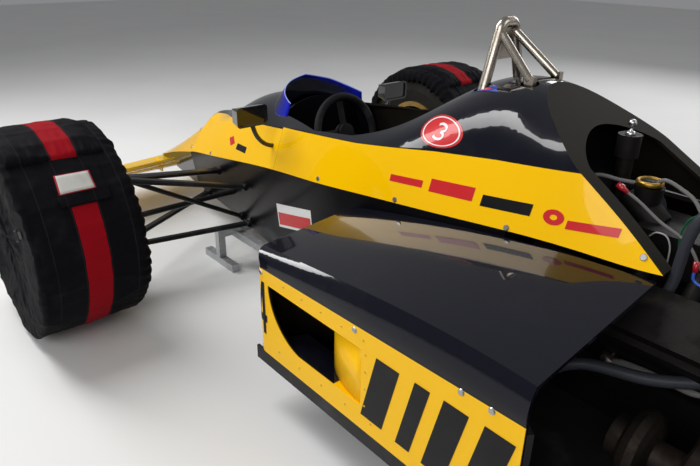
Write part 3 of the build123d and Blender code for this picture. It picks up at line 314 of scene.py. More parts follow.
@dataclass(frozen=True)
class Screen(Finish):
    """Dark sheet with painted sunlight, a brighter deep blue towards its ends and top, and a pale edge; the map's
    second axis runs up to it.
    """

    name: str = "tinted_screen"

    def material(self) -> bpy.types.Material:
        """Make the material."""
        g = Graph(self.name)
        u, v, _ = g.coordinates("UV")
        edge = v.step(0.965, 0.980)
        # Painted sunlight: the sheet's ends and top are made a brighter, less clear blue, as if lit.
        painted_sunlight = (abs(u - 0.5) * 2.0).step(0.62, 0.97).larger(v.step(0.70, 0.93))
        smear = g.noise(22.0, 4.0)
        tint = g.blend(painted_sunlight, (0.0015, 0.003, 0.022), (0.004, 0.010, 0.40))
        return g.finish(Base_Color=g.blend(edge, tint, (0.30, 0.36, 0.75)), Roughness=smear * 0.1 + 0.05,
                        Alpha=painted_sunlight * 0.06 + edge * 0.05 + 0.88, IOR=1.40)


def profile(g: Graph, x: Value, rows: Sequence[Flat]) -> Value:
    """Height along the car as a value, through rows of station and height, front first.

    Args:
        g: the graph.
        x: the place along X.
        rows: stations and heights.

    Returns:
        The height over the flat bottom, in metres.
    """
    rear, front = rows[-1][0], rows[0][0]
    stops = [((station - rear) / (front - rear), height) for station, height in reversed(rows)]
    share = (x - at(rear)) / (front - rear)
    ramp = g.node("ShaderNodeValToRGB", {"stops": stops}, {"Fac": share})
    return g.node("ShaderNodeSeparateColor", None, [ramp])


SHOULDER_LINE = ((0.560, 0.280), (0.340, 0.352), (0.228, 0.382), (0.070, 0.420), (-0.120, 0.452), (-0.305, 0.486),
                 (-0.520, 0.515), (-0.750, 0.541), (-0.900, 0.563), (-1.040, 0.584), (-1.220, 0.604),
                 (-1.440, 0.620), (-1.700, 0.628))
CHINE_LINE = ((1.075, 0.020), (0.866, 0.088), (0.560, 0.173))
POD_LINE = ((-0.790, 0.296), (-1.640, 0.322))
LIP_PLANE = (0.530, 0.848, 1.2775)  # backward and upward shares of the rear lip's direction, and its distance


class Area(Enum):
    """How a two-tone panel is split."""

    COWL = "cowl"
    NOSE = "nose"
    POD = "pod"


@dataclass(frozen=True)
class TwoTone(Finish):
    """Gloss yellow and gloss black split along the panel's own line."""

    area: Area
    yellow: Colour = (0.90, 0.50, 0.0)
    black: Colour = (0.004, 0.0045, 0.009)

    @staticmethod
    def ahead(x: Value) -> Value:
        """1 ahead of the station where the yellow steps up from the shoulder line to the wedge, 0 behind it."""
        return x.step(at(-0.318), at(-0.312))

    def yellow_mask(self, g: Graph) -> Value:
        """1 on the yellow paint, 0 on the black."""
        x, y, z = g.coordinates("Object")
        height = z - FLAT_BOTTOM
        _, ny, _ = g.coordinates("Normal")
        outer = (ny * y).step(0.001, 0.004)
        if self.area is Area.NOSE:
            return (height - profile(g, x, CHINE_LINE)).over()
        if self.area is Area.POD:
            under = 1.0 - (height - profile(g, x, POD_LINE)).over()
            side = abs(y).step(0.6405, 0.6415) * x.step(at(-1.640), at(-1.638)) * outer
            ramp = abs(y).step(0.571, 0.575) * x.step(at(-1.232), at(-1.228)) * (1.0 - x.step(at(-1.128), at(-1.124)))
            lip = abs(y).step(0.652, 0.655) * (height > 0.07)
            return side.larger(ramp).larger(lip) * under
        ahead = self.ahead(x)
        below = 1.0 - (height - profile(g, x, SHOULDER_LINE)).over()
        wedge = (height - ((at(-0.315) - x) * 0.156 + 0.481)).over()
        return (ahead * (1.0 - wedge)).larger((1.0 - ahead) * below) * outer

    def lip_mask(self, g: Graph) -> Value:
        """1 on the bare faces: the cover's sloping rear lip and every side that faces inwards."""
        x, y, z = g.coordinates("Object")
        nx, ny, nz = g.coordinates("Normal")
        inward = 1.0 - (ny * y).step(-0.030, -0.010)
        if self.area is not Area.COWL:
            return inward
        along_x, along_z, distance = LIP_PLANE
        plane = 1.0 - abs((z - FLAT_BOTTOM) * along_z - (x - FRONT_AXLE) * along_x - distance).step(0.010, 0.0115)
        facing = (nz * along_z - nx * along_x).step(0.93, 0.97)
        return (plane * facing).larger(inward * (1.0 - self.ahead(x)))

    def material(self) -> bpy.types.Material:
        """Make the material."""
        g = Graph(self.name)
        mask = self.yellow_mask(g)
        lip = self.lip_mask(g)
        _, across, _ = g.coordinates("Normal")
        steep = abs(across).step(0.50, 0.85)
        haze = g.noise(7.0, 4.0, 0.6)
        grain = g.noise(150.0, 2.0, 0.5)
        paint = g.blend(haze * 0.10, self.yellow, (0.95, 0.60, 0.01))
        dark = g.blend(haze.step(0.5, 0.9) * 0.04, self.black, (0.2, 0.2, 0.22))
        painted = g.blend(mask, dark, paint)
        bare = g.blend(haze, (0.010, 0.0085, 0.0065), (0.022, 0.018, 0.013))
        return g.finish(Base_Color=g.blend(lip, painted, bare), Roughness=haze * 0.06 + 0.13 + mask * 0.05 + lip * 0.45,
                        Coat_Weight=(1.0 - lip) * (1.0 - steep * 0.6), Coat_Roughness=0.03, Specular_IOR_Level=0.06,
                        Normal=g.bump(grain + haze * 4.0, 0.0003, 0.2))


@dataclass(frozen=True)
class Cloth(Finish):
    """Woven warmer cloth, black with a red band round the tread; the map's second axis runs across it."""

    band: float
    shell: Colour = (0.0045, 0.0045, 0.006)
    red: Colour = (0.28, 0.004, 0.010)
    seams: tuple[float, ...] = (0.0405, 0.118)

    def material(self) -> bpy.types.Material:
        """Make the material."""
        g = Graph(self.name)
        u, v, _ = g.coordinates("UV")
        band = 1.0 - abs(v).step(self.band / 2 - 0.001, self.band / 2 + 0.001) if self.band else None
        weave = (u * 4200.0).sin() * (v * 4200.0).sin()
        cloud = g.noise(13.0, 5.0, 0.65)
        crease = g.noise(26.0, 6.0, 0.6, (1.0, 0.45, 1.0))
        stitch = None
        for place in self.seams:
            line = 1.0 - abs(abs(v) - place).step(0.0004, 0.0012)
            dash = line * ((u * 1250.0).sin() > -0.2)
            stitch = dash if stitch is None else stitch.larger(dash)
        worn = g.blend(cloud.step(0.5, 0.85) * 0.35, self.shell, (0.028, 0.028, 0.034))
        colour = worn
        if band is not None:
            colour = g.blend(band, worn, g.blend(cloud * 0.6, self.red, (0.24, 0.005, 0.010)))
        colour = g.blend(stitch * 0.5, colour, (0.06, 0.06, 0.065))
        height = weave * 0.3 + cloud * 1.6 + crease * 3.0 - stitch * 1.2
        return g.finish(Base_Color=colour, Roughness=cloud * 0.2 + 0.48, Sheen_Weight=0.01, Sheen_Roughness=0.4,
                        Specular_IOR_Level=0.03, Normal=g.bump(height, 0.0011, 0.6))


@dataclass(frozen=True)
class Rubber(Finish):
    """Tyre rubber with fine rings on its side walls."""

    hub: Flat

    def material(self) -> bpy.types.Material:
        """Make the material."""
        g = Graph(self.name)
        x, _, z = g.coordinates("Object")
        dx, dz = x - self.hub[0], z - self.hub[1]
        radius = (dx * dx + dz * dz).power(0.5)
        grooves = (radius * 900.0).sin()
        cloud = g.noise(20.0, 5.0, 0.6)
        colour = g.blend(cloud.step(0.4, 0.8) * 0.3, (0.012, 0.012, 0.012), (0.045, 0.042, 0.038))
        return g.finish(Base_Color=colour, Roughness=cloud * 0.2 + 0.5, Specular_IOR_Level=0.2,
                        Normal=g.bump(grooves * 0.3 + cloud, 0.0005, 0.4))


# ---------------------------------------------------------------- meshes


def shown(name: str, data: bpy.types.ID) -> bpy.types.Object:
    """Object with some data, linked to the scene."""
    made = bpy.data.objects.new(name, data)
    bpy.context.scene.collection.objects.link(made)
    return made


def piece(name: str, mesh: bpy.types.Mesh, finish: Finish, body: str,
          smooth: bool = True) -> bpy.types.Object:
    """Make a finished mesh a piece of the car.

    Args:
        name: the piece's name.
        mesh: its mesh, in the row frame.
        finish: its finish.
        body: the body it moves with.
        smooth: whether its faces are shaded smooth.

    Returns:
        The piece.
    """
    made = shown(name, mesh)
    mesh.materials.clear()
    mesh.materials.append(made_of(finish))
    mesh.shade_smooth() if smooth else mesh.shade_flat()
    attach(made, body)
    LOG.info("%s: %d faces", name, len(mesh.polygons))
    return made


def mesh_of(name: str, verts: Sequence, faces: Sequence) -> bpy.types.Mesh:
    """A mesh from points and faces."""
    mesh = bpy.data.meshes.new(name)
    mesh.from_pydata([tuple(v) for v in verts], [], faces)
    mesh.update()
    return mesh


def dress(finish: Finish, *nodes: str) -> None:
    """Give CAD nodes a finish."""
    for node in nodes:
        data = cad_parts[node].data
        data.materials.clear()
        data.materials.append(made_of(finish))


def surface(*nodes: str) -> BVHTree:
    """A search tree of the faces of CAD nodes."""
    verts: list[Vector] = []
    faces: list[list[int]] = []
    for node in nodes:
        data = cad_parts[node].data
        base = len(verts)
        verts += [v.co.copy() for v in data.vertices]
        faces += [[base + i for i in p.vertices] for p in data.polygons]
    return BVHTree.FromPolygons(verts, faces)


def grid(rows: int, columns: int, base: int = 0) -> list[Face]:
    """Faces of a grid whose points are kept row by row from a first number."""
    starts = [base + i * columns + j for i in range(rows - 1) for j in range(columns - 1)]
    return [(k, k + 1, k + columns + 1, k + columns) for k in starts]


def double_sheet(rows: int, columns: int) -> list[Face]:
    """Faces of a closed sheet whose two sides are grids of points, one kept after the other."""
    count = rows * columns
    rim = [i * columns for i in range(rows)] + [(rows - 1) * columns + j for j in range(1, columns)]
    rim += [i * columns + columns - 1 for i in range(rows - 2, -1, -1)] + list(range(columns - 2, 0, -1))
    edge = [(a, b, b + count, a + count) for a, b in zip(rim, rim[1:] + rim[:1])]
    return grid(rows, columns) + grid(rows, columns, count) + edge


def rings(count: int, sides: int, closed: bool = False) -> list[Face]:
    """Faces between rings of points kept ring by ring; closed joins the last ring to the first."""
    faces = []
    for k in range(count if closed else count - 1):
        low, high = k * sides, (k + 1) % count * sides
        faces += [(low + i, low + (i + 1) % sides, high + (i + 1) % sides, high + i) for i in range(sides)]
    return faces


def capped(verts: list[Vector], sides: int) -> Shape:
    """Closed bar whose sections are rings of points kept ring by ring."""
    last = len(verts) - sides
    return verts, [*rings(len(verts) // sides, sides), tuple(range(sides))[::-1], tuple(range(last, last + sides))]


def between(corners: Sequence[Flat], s: float, t: float) -> Flat:
    """Place inside four corners, given in order round them, at a share along each way."""
    a, b, c, d = corners
    return tuple((a[k] * (1 - s) + b[k] * s) * (1 - t) + (d[k] * (1 - s) + c[k] * s) * t for k in (0, 1))


def heading(path: Sequence, k: int) -> Vector:
    """Direction of a line of places at one of them."""
    ahead, behind = path[min(k + 1, len(path) - 1)], path[max(k - 1, 0)]
    return Vector([a - b for a, b in zip(ahead, behind)]).normalized()


def side_hit(skin: BVHTree, station: float, height: float, side: int) -> tuple[Vector, Vector] | None:
    """Place and outward direction on a skin seen from one side of the car."""
    found, normal, _, _ = skin.ray_cast(spot(station, side * 1.3, height), Vector((0, -side, 0)))
    return None if found is None else (found, normal * (1 if normal.y * side > 0 else -1))


def tube(points: Sequence[Vector], radius: float, sides: int, smooth_steps: int) -> Shape:
    """Round tube along a smooth path.

    Args:
        points: places along the path.
        radius: its radius.
        sides: faces round the tube.
        smooth_steps: steps between two places.

    Returns:
        Its points and faces.
    """
    path: list[Vector] = []
    ends = [points[0] * 2 - points[1], *points, points[-1] * 2 - points[-2]]
    for k in range(1, len(ends) - 2):
        a, b, c, d = ends[k - 1:k + 3]
        for i in range(smooth_steps):
            t = i / smooth_steps
            path.append(0.5 * ((2 * b) + (c - a) * t + (2 * a - 5 * b + 4 * c - d) * t * t
                               + (3 * b - a - 3 * c + d) * t ** 3))
    path.append(points[-1])
    verts: list[Vector] = []
    normal = None
    for k, here in enumerate(path):
        run = heading(path, k)
        if normal is None:
            normal = run.orthogonal().normalized()
        normal = (normal - run * normal.dot(run)).normalized()
        other = run.cross(normal)
        for i in range(sides):
            turn = math.tau * i / sides
            verts.append(here + (normal * math.cos(turn) + other * math.sin(turn)) * radius)
    return capped(verts, sides)


def turned(outline: Sequence[Flat], start: Vector, way: Vector, segments: int = 32) -> Shape:
    """Closed turned shape about a line.

    Args:
        outline: distances along the line and radii, closed at both ends on the line.
        start: a point of the line.
        way: its direction.
        segments: faces round it.

    Returns:
        Its points and faces.
    """
    along = way.normalized()
    first = along.orthogonal().normalized()
    second = along.cross(first)
    verts: list[Vector] = []
    rows: list[list[int]] = []
    for distance, radius in outline:
        if radius < 1e-6:
            verts.append(start + along * distance)
            rows.append([len(verts) - 1] * segments)
            continue
        row = []
        for i in range(segments):
            turn = math.tau * i / segments
            verts.append(start + along * distance + (first * math.cos(turn) + second * math.sin(turn)) * radius)
            row.append(len(verts) - 1)
        rows.append(row)
    faces = []
    for low, high in zip(rows, rows[1:]):
        for i in range(segments):
            j = (i + 1) % segments
            face = [low[i], low[j], high[j], high[i]]
            kept = [v for k, v in enumerate(face) if v != face[k - 1]]
            if len(kept) > 2:
                faces.append(tuple(kept))
    return verts, faces


def ridge(place: Vector, sharpness: int) -> float:
    """Crease of a noise, 1 along its line and falling away from it."""
    return (1 - abs(noise(place))) ** sharpness


def radial(turn: float) -> Vector:
    """Direction away from an axle at a turn in degrees."""
    return Vector((math.cos(math.radians(turn)), 0, math.sin(math.radians(turn))))


class Builder:
    """Collects several shapes into one mesh."""

    def __init__(self, *shapes: Shape) -> None:
        """Start with some shapes or none."""
        self.verts: list[Vector] = []
        self.faces: list[Face] = []
        for shape in shapes:
            self.add(shape)

    def add(self, shape: Shape) -> None:
        """Add a shape's points and faces."""
        base = len(self.verts)
        self.verts += list(shape[0])
        self.faces += [tuple(base + i for i in f) for f in shape[1]]

    def mesh(self, name: str) -> bpy.types.Mesh:
        """The mesh of all shapes, with its faces pointing outwards."""
        made = mesh_of(name, self.verts, self.faces)
        outwards(made)
        return made


def fitting(name: str, shapes: Sequence[Shape], finish: Finish,
            smooth: bool = True) -> bpy.types.Object:
    """Make shapes one piece that rides with the chassis.

    Args:
        name: the piece's name.
        shapes: its shapes.
        finish: its finish.
        smooth: whether its faces are shaded smooth.

    Returns:
        The piece.
    """
    return piece(name, Builder(*shapes).mesh(name), finish, "chassis", smooth)


def charted(name: str, verts: Sequence[Vector], faces: Sequence[Face], maps: Sequence[Flat]) -> bpy.types.Mesh:
    """A closed mesh facing outwards, with a map from the two coordinates of each of its points."""
    mesh = mesh_of(name, verts, faces)
    layer = mesh.uv_layers.new(name="cloth")
    for loop in mesh.loops:
        layer.data[loop.index].uv = maps[loop.vertex_index]
    outwards(mesh)
    return mesh


def outwards(mesh: bpy.types.Mesh) -> None:
    """Turn the faces of a closed mesh outwards."""
    work = bmesh.new()
    work.from_mesh(mesh)
    bmesh.ops.recalc_face_normals(work, faces=work.faces)
    work.to_mesh(mesh)
    work.free()


def mirrored(mesh: bpy.types.Mesh, sign: int) -> bpy.types.Mesh:
    """Copy of a mesh for the left side, or mirrored to the right one with its faces kept outwards."""
    made = mesh.copy()
    for vertex in made.vertices:
        vertex.co.y *= sign
    outwards(made)
    return made


def ribbon(path: Sequence[Vector], across: Vector, width: float, thick: float) -> Shape:
    """Flat webbing along a path.

    Args:
        path: its places.
        across: direction of its width.
        width: its width.
        thick: its thickness.

    Returns:
        Its points and faces.
    """
    verts: list[Vector] = []
    for k, here in enumerate(path):
        lift = heading(path, k).cross(across).normalized() * thick / 2
        for s, t in ((-1, -1), (1, -1), (1, 1), (-1, 1)):
            verts.append(here + across * (s * width / 2) + lift * t)
    return capped(verts, 4)


CLOTH_RULES = {"quality": 4, "mass": 0.25, "tension_stiffness": 14, "compression_stiffness": 10, "shear_stiffness": 5,
               "bending_stiffness": 0.3, "vertex_group_mass": "held", "use_pressure": True}
DEEPEST_SINK = 0.0012
SMOOTHING_PASSES = 2


def settle(mesh: bpy.types.Mesh, held: Sequence[float], pressure: float, growth: float, cap: float,
           frames: int = 14) -> None:
    """Let a closed padded mesh swell and crease as cloth, and keep the result in its points.

    Args:
        mesh: the mesh, changed in place.
        held: how firmly each point is held, 0 to 1.
        pressure: the pressure inside it.
        growth: share by which the cloth is larger than its first shape.
        cap: the furthest that a point may move.
        frames: steps of the simulation.
    """
    scene = bpy.context.scene
    start = [v.co.copy() for v in mesh.vertices]
    normals = [v.normal.copy() for v in mesh.vertices]
    made = shown(mesh.name + "_settling", mesh)
    group = made.vertex_groups.new(name="held")
    for index, weight in enumerate(held):
        if weight > 0:
            group.add([index], weight, "REPLACE")
    cloth = made.modifiers.new("cloth", "CLOTH")
    for rule, value in {**CLOTH_RULES, "uniform_pressure_force": pressure, "shrink_min": -growth}.items():
        setattr(cloth.settings, rule, value)
    cloth.settings.effector_weights.gravity = 0
    cloth.collision_settings.use_collision = False
    cloth.point_cache.frame_start = 1
    cloth.point_cache.frame_end = frames
    for number in range(1, frames + 1):
        scene.frame_set(number)
    shaped = made.evaluated_get(bpy.context.evaluated_depsgraph_get()).data
    moves = []
    for before, normal, after in zip(start, normals, shaped.vertices):
        move = after.co - before
        move -= normal * min(0.0, move.dot(normal) + DEEPEST_SINK)
        moves.append(move * (cap / move.length) if move.length > cap else move)
    for _ in range(SMOOTHING_PASSES):
        sums = [move.copy() for move in moves]
        counts = [1] * len(moves)
        for edge in mesh.edges:
            a, b = edge.vertices
            sums[a] += moves[b]
            sums[b] += moves[a]
            counts[a] += 1
            counts[b] += 1
        moves = [total / count for total, count in zip(sums, counts)]
    bpy.data.objects.remove(made)
    scene.frame_set(1)
    for vertex, before, move in zip(mesh.vertices, start, moves):
        vertex.co = before + move
    mesh.update()
    LOG.info("%s settled, largest move %.1f mm", mesh.name, 1000 * max(m.length for m in moves))


class Fasteners:
    """Geometry Nodes tree that puts a chamfered button at each point of a mesh, aimed by its attribute."""

    def __init__(self) -> None:
        """Build the tree."""
        tree = bpy.data.node_groups.new("fasteners", "GeometryNodeTree")
        face = tree.interface
        for label, kind in (("Points", "Geometry"), ("Radius", "Float"), ("Top radius", "Float"), ("Height", "Float"),
                            ("Sides", "Int"), ("Finish", "Material")):
            face.new_socket(label, in_out="INPUT", socket_type="NodeSocket" + kind)
        face.new_socket("Geometry", in_out="OUTPUT", socket_type="NodeSocketGeometry")
        nodes = {name: tree.nodes.new(kind) for name, kind in (
            ("given", "NodeGroupInput"), ("result", "NodeGroupOutput"), ("cone", "GeometryNodeMeshCone"),
            ("aim", "GeometryNodeInputNamedAttribute"), ("align", "FunctionNodeAlignRotationToVector"),
            ("spread", "GeometryNodeInstanceOnPoints"), ("real", "GeometryNodeRealizeInstances"),
            ("finish", "GeometryNodeSetMaterial"))}
        nodes["aim"].data_type = "FLOAT_VECTOR"
        nodes["aim"].inputs["Name"].default_value = "aim"
        nodes["align"].axis = "Z"
        for source, socket, goal, entry in (
                ("given", "Sides", "cone", "Vertices"), ("given", "Top radius", "cone", "Radius Top"),
                ("given", "Radius", "cone", "Radius Bottom"), ("given", "Height", "cone", "Depth"),
                ("given", "Points", "spread", "Points"), ("cone", "Mesh", "spread", "Instance"),
                ("aim", "Attribute", "align", "Vector"), ("align", "Rotation", "spread", "Rotation"),
                ("spread", "Instances", "real", "Geometry"), ("real", "Geometry", "finish", "Geometry"),
                ("given", "Finish", "finish", "Material"), ("finish", "Geometry", "result", "Geometry")):
            tree.links.new(nodes[source].outputs[socket], nodes[goal].inputs[entry])
        self.tree = tree
        self.keys = {item.name: item.identifier for item in face.items_tree if item.in_out == "INPUT"}

    def place(self, name: str, spots: Sequence[tuple[Vector, Vector]], radius: float, height: float,
              finish: Finish, slot: str, sides: int, top: float = 0.7) -> bpy.types.Object:
        """Put one fastener of the chassis at each spot.

        Args:
            name: the piece's name.
            spots: places and directions.
            radius: radius of its foot.
            height: how far it stands out.
            finish: its finish.
            slot: not used.
            sides: faces round it.
            top: top radius as a share of the foot's.

        Returns:
            The piece.
        """
        points = mesh_of(name + "_points", [spot for spot, _ in spots], [])
        aims = points.attributes.new("aim", "FLOAT_VECTOR", "POINT")
        for item, (_, way) in zip(aims.data, spots):
            item.vector = way.normalized()
        holder = shown(name + "_points", points)
        modifier = holder.modifiers.new("fasteners", "NODES")
        modifier.node_group = self.tree
        for label, value in (("Radius", radius), ("Top radius", radius * top), ("Height", height), ("Sides", sides),
                             ("Finish", made_of(finish))):
            modifier[self.keys[label]] = value
        view = bpy.context.evaluated_depsgraph_get()
        plain = bpy.data.meshes.new_from_object(holder.evaluated_get(view))
        holder.modifiers.remove(modifier)
        bpy.data.objects.remove(holder)
        return piece(name, plain, finish, "chassis", smooth=False)


@dataclass
class Stickers:
    """Thin plain shapes laid on a panel, their places given as station and height unless laid from above."""

    skin: BVHTree
    lift: float = 0.0007
    built: Builder = field(default_factory=Builder)

    def _lay(self, station: float, height: float, side: int) -> Vector | None:
        """Place on the skin seen from one side of the car."""
        hit = side_hit(self.skin, station, height, side)
        return None if hit is None else hit[0] + hit[1] * self.lift

    def _keep(self, spots: Sequence[Vector | None], faces: Sequence[Face]) -> None:
        """Add the faces whose points all lie on the panel."""
        verts: list[Vector] = []
        index: list[int] = []
        for place in spots:
            index.append(-1 if place is None else len(verts))
            if place is not None:
                verts.append(place)
        kept = [tuple(index[v] for v in face) for face in faces]
        self.built.add((verts, [face for face in kept if min(face) >= 0]))

    def quad(self, corners: Sequence[Flat], side: int, steps: int = 8) -> None:
        """Lay a four cornered patch, its corners in order round it."""
        shares = [k / steps for k in range(steps + 1)]
        spots = [self._lay(*between(corners, s, t), side) for s in shares for t in shares]
        self._keep(spots, grid(steps + 1, steps + 1))

    def disc(self, centre: Flat, radii: Flat, side: int, inner: float = 0.0, segments: int = 40,
             steps: int = 4) -> None:
        """Lay a disc, or a ring from an inner share of its radii."""
        spots = []
        for k in range(steps + 1):
            share = inner + (1 - inner) * k / steps
            for i in range(segments):
                turn = math.tau * i / segments
                spots.append(self._lay(centre[0] + radii[0] * share * math.cos(turn),
                                       centre[1] + radii[1] * share * math.sin(turn), side))
        faces = rings(steps + 1, segments)
        if inner == 0:
            faces = [*faces[segments:], tuple(range(segments, 2 * segments))]
        self._keep(spots, faces)

    def stroke(self, path: Sequence[Flat], width: float, side: int) -> None:
        """Lay a stroke of even width along a line of places."""
        edges = []
        for k, (x, z) in enumerate(path):
            run = heading(path, k) * width / 2
            edges.append(((x - run.y, z + run.x), (x + run.y, z - run.x)))
        for (a, b), (c, d) in zip(edges, edges[1:]):
            self.quad((a, c, d, b), side, 2)

    def above(self, corners: Sequence[Flat], lowest: float, steps: int = 12) -> None:
        """Lay a four cornered patch from above, cut away over any slot.

        Args:
            corners: station and side of each corner, in order round it.
            lowest: height under which nothing is laid.
            steps: faces along each side.
        """
        spots = []
        for k in range((steps + 1) ** 2):
            x, y = between(corners, k // (steps + 1) / steps, k % (steps + 1) / steps)
            found, normal, _, _ = self.skin.ray_cast(Vector((at(x), y, 2.0)), Vector((0, 0, -1)))
            missed = found is None or found.z < up(lowest)
            spots.append(None if missed else found + normal * self.lift * (1 if normal.z > 0 else -1))
        self._keep(spots, grid(steps + 1, steps + 1))

    def finish(self, name: str, look: Finish, slot: str) -> bpy.types.Object:
        """Make the laid shapes one piece of the chassis, facing outwards and up."""
        mesh = mesh_of(name, self.built.verts, self.built.faces)
        work = bmesh.new()
        work.from_mesh(mesh)
        for f in work.faces:
            f.normal_update()
            across = f.calc_center_median().y
            if f.normal.dot(Vector((0, across, 0.3 * abs(across)))) < 0:
                f.normal_flip()
        work.to_mesh(mesh)
        work.free()
        return piece(name, mesh, look, "chassis")


# ---------------------------------------------------------------- sub-assemblies


@dataclass
class Warmer:
    """Padded cloth jacket over one tyre, built for the left wheel and mirrored for the right one.

    Places along the axle are measured from the wheel's middle, outboard positive, and turns from straight
    ahead, over the top.
    """

    end: str
    hub: Vector
    tyre_r: float
    tyre_w: float
    seed: float
    thick: float = 0.0125
    mouth_out: float = 0.014
    bend: float = 0.042
    corner: float = 0.015
    around: int = 320
    flap: Flat = (38.0, 124.0)
    flap_height: float = 0.0045
    map_radius: float = 0.34
    sewn_depth: float = 0.0012
    lip: float = 0.035
    pleats: int = 57
    gathers: int = 13
    seam_inset: float = 0.0045
    least_loft: float = 0.0045
    lining_gap: float = 0.0008
    skin: BVHTree | None = None

    @property
    def mouth_in(self) -> float:
        """Radius of the jacket's inner mouth."""
        return self.tyre_r - self.lip

    @property
    def half(self) -> float:
        """Half the jacket's width."""
        return self.tyre_w / 2 + self.thick

    @property
    def top(self) -> float:
        """Radius of the jacket on the tread."""
        return self.tyre_r + self.thick

    def outline(self) -> list[Flat]:
        """Outline from the inner mouth over the tread to the hole in the outer side."""
        half, top, bend, corner = self.half, self.top, self.bend, self.corner
        arc = [math.radians(15 * k) for k in range(7)]
        count = 16
        wide = 2 * half - bend - corner
        side = top - corner
        points = [(-half + 0.008, self.mouth_in - 0.004), (-half + 0.001, self.mouth_in)]
        points += [(-half + bend - bend * math.cos(a), top - bend + bend * math.sin(a)) for a in arc]
        points += [(-half + bend + wide * k / count, top) for k in range(1, count)]
        points += [(half - corner + corner * math.sin(a), side + corner * math.cos(a)) for a in arc]
        for k in range(1, count + 1):
            radius = side - (side - self.mouth_out) * k / count
            sink = 0.008 * min(1.0, max(0.0, (0.235 - radius) / 0.08))
            points.append((half + 0.001 - sink, radius))
        points.append((half - 0.014, self.mouth_out - 0.004))
        return points

    def thin(self, turn: float) -> float:
        """How far the cloth is drawn in over the top, where the flap lies tight."""
        tightest, spread, deepest = 78.0, 32.0, 0.0095
        gap = (math.degrees(turn) - tightest + 180.0) % 360.0 - 180.0
        return deepest * math.exp(-(gap / spread) ** 2)

    def fold(self, turn: float, across: float, radius: float) -> float:
        """How far the cloth stands out from its outline at a place.

        Args:
            turn: angle round the tyre.
            across: place along the axle.
            radius: radius of the outline there.

        Returns:
            The height in metres.
        """
        half = self.half
        ring = Vector((math.cos(turn), math.sin(turn), 0))
        way = Vector((ring.x * 2.2, across * 9 + self.seed, ring.y * 2.2))
        height = noise(way) * 0.0035 + noise(way * 2.6) * 0.0018
        crease = Vector((ring.x * 5.0, across * 5.0 + self.seed, ring.y * 5.0))
        if across < -half + 0.05:
            near = math.exp(-max(0.0, radius - self.mouth_in) / 0.024)
            pleat = math.sin(turn * self.pleats + 2.4 * noise(Vector((ring.x * 3, ring.y * 3, self.seed))))
            edge = math.exp(-((across + half - 0.014) / 0.020) ** 2)
            height += pleat * 0.0042 * near + (pleat * 0.0022 + ridge(crease * 2.2, 6) * 0.005) * edge
            height += 0.012 * math.exp(-((math.degrees(turn) - 190.0) / 45.0) ** 2) * edge
        if across > half - 0.012:
            flat = Vector((ring.x * radius * 8.0, ring.y * radius * 8.0 + self.seed, 3.3))
            near = math.exp(-max(0.0, radius - self.mouth_out) / 0.055)
            height += ridge(flat, 7) * 0.0065 + ridge(flat * 2.1, 8) * 0.0030
            height += math.sin(turn * self.gathers + 2.0 * noise(flat)) * 0.0030 * near * min(1.0, radius / 0.05)
        else:
            height += ridge(crease, 9) * 0.0040
        beside = across - half + self.seam_inset
        seam = math.exp(-(beside / 0.004) ** 2) if radius > self.top - 0.02 else 0.0
        return height + seam * 0.0042

    def jacket(self) -> bpy.types.Mesh:
        """Make the jacket with its lining and let it settle as cloth.

        Returns:
            The left jacket's mesh.
        """
        outline = self.outline()
        runs = [heading(outline, k) for k in range(len(outline))]
        outward = [Vector((-run.y, run.x)) for run in runs]
        lining = []
        for (across, radius), out in zip(outline, outward):
            deep = 0.0095 if across < self.half - 0.02 else 0.0060
            lining.append((across - out.x * deep, radius - out.y * deep))
        lengths = [0.0]
        for before, after in zip(outline, outline[1:]):
            lengths.append(lengths[-1] + math.dist(before, after))
        middle = min(range(len(outline)), key=lambda k: abs(outline[k][0]) + (0 if outline[k][1] > 0.3 else 9))
        seam = min(range(len(outline)), key=lambda k: abs(outline[k][0] - self.half + self.seam_inset)
                   + abs(outline[k][1] - self.top + self.seam_inset))
        verts: list[Vector] = []
        held: list[float] = []
        maps: list[Flat] = []
        for ring, outer in ((outline, True), (lining[::-1], False)):
            for k, (across, radius) in enumerate(ring):
                pinned = 1.0 if not outer or k in (0, len(ring) - 1) else (0.5 if k == seam else 0.0)
                for i in range(self.around):
                    turn = math.tau * i / self.around
                    cos, sin = math.cos(turn), math.sin(turn)
                    stand = self.fold(turn, across, radius) if outer else 0.0
                    out = outward[k] if outer else Vector((0, 0))
                    r = radius + out.y * stand
                    if radius > self.tyre_r - 0.002:
                        least = self.least_loft if outer else self.lining_gap
                        r = max(r - self.thin(turn), self.tyre_r + least)
                    if across < -self.half + 0.02 and r < self.top - self.bend + 0.004:
                        r += 0.011 * noise(Vector((cos * 2.0, sin * 2.0, self.seed + 8)))
                    verts.append(self.hub + Vector((r * cos, across + out.x * stand, r * sin)))
                    held.append(pinned)
                    maps.append((turn * self.map_radius, lengths[k] - lengths[middle] if outer else 0.5))
        faces = rings(2 * len(outline), self.around, closed=True)
        mesh = charted(f"warmer_{self.end}_cloth", verts, faces, maps)
        settle(mesh, held, pressure=0.25, growth=0.012, cap=0.003)
        return mesh

    def lay(self, turn: float, across: float) -> tuple[Vector, Vector]:
        """Place on the jacket and the direction away from the axle there.

        Args:
            turn: angle round the tyre, in degrees.
            across: place along the axle.

        Returns:
            The place and the direction.
        """
        out = radial(turn)
        place, _, _, _ = self.skin.ray_cast(self.hub + Vector((0, across, 0)) + out * 0.5, -out)
        return place, out

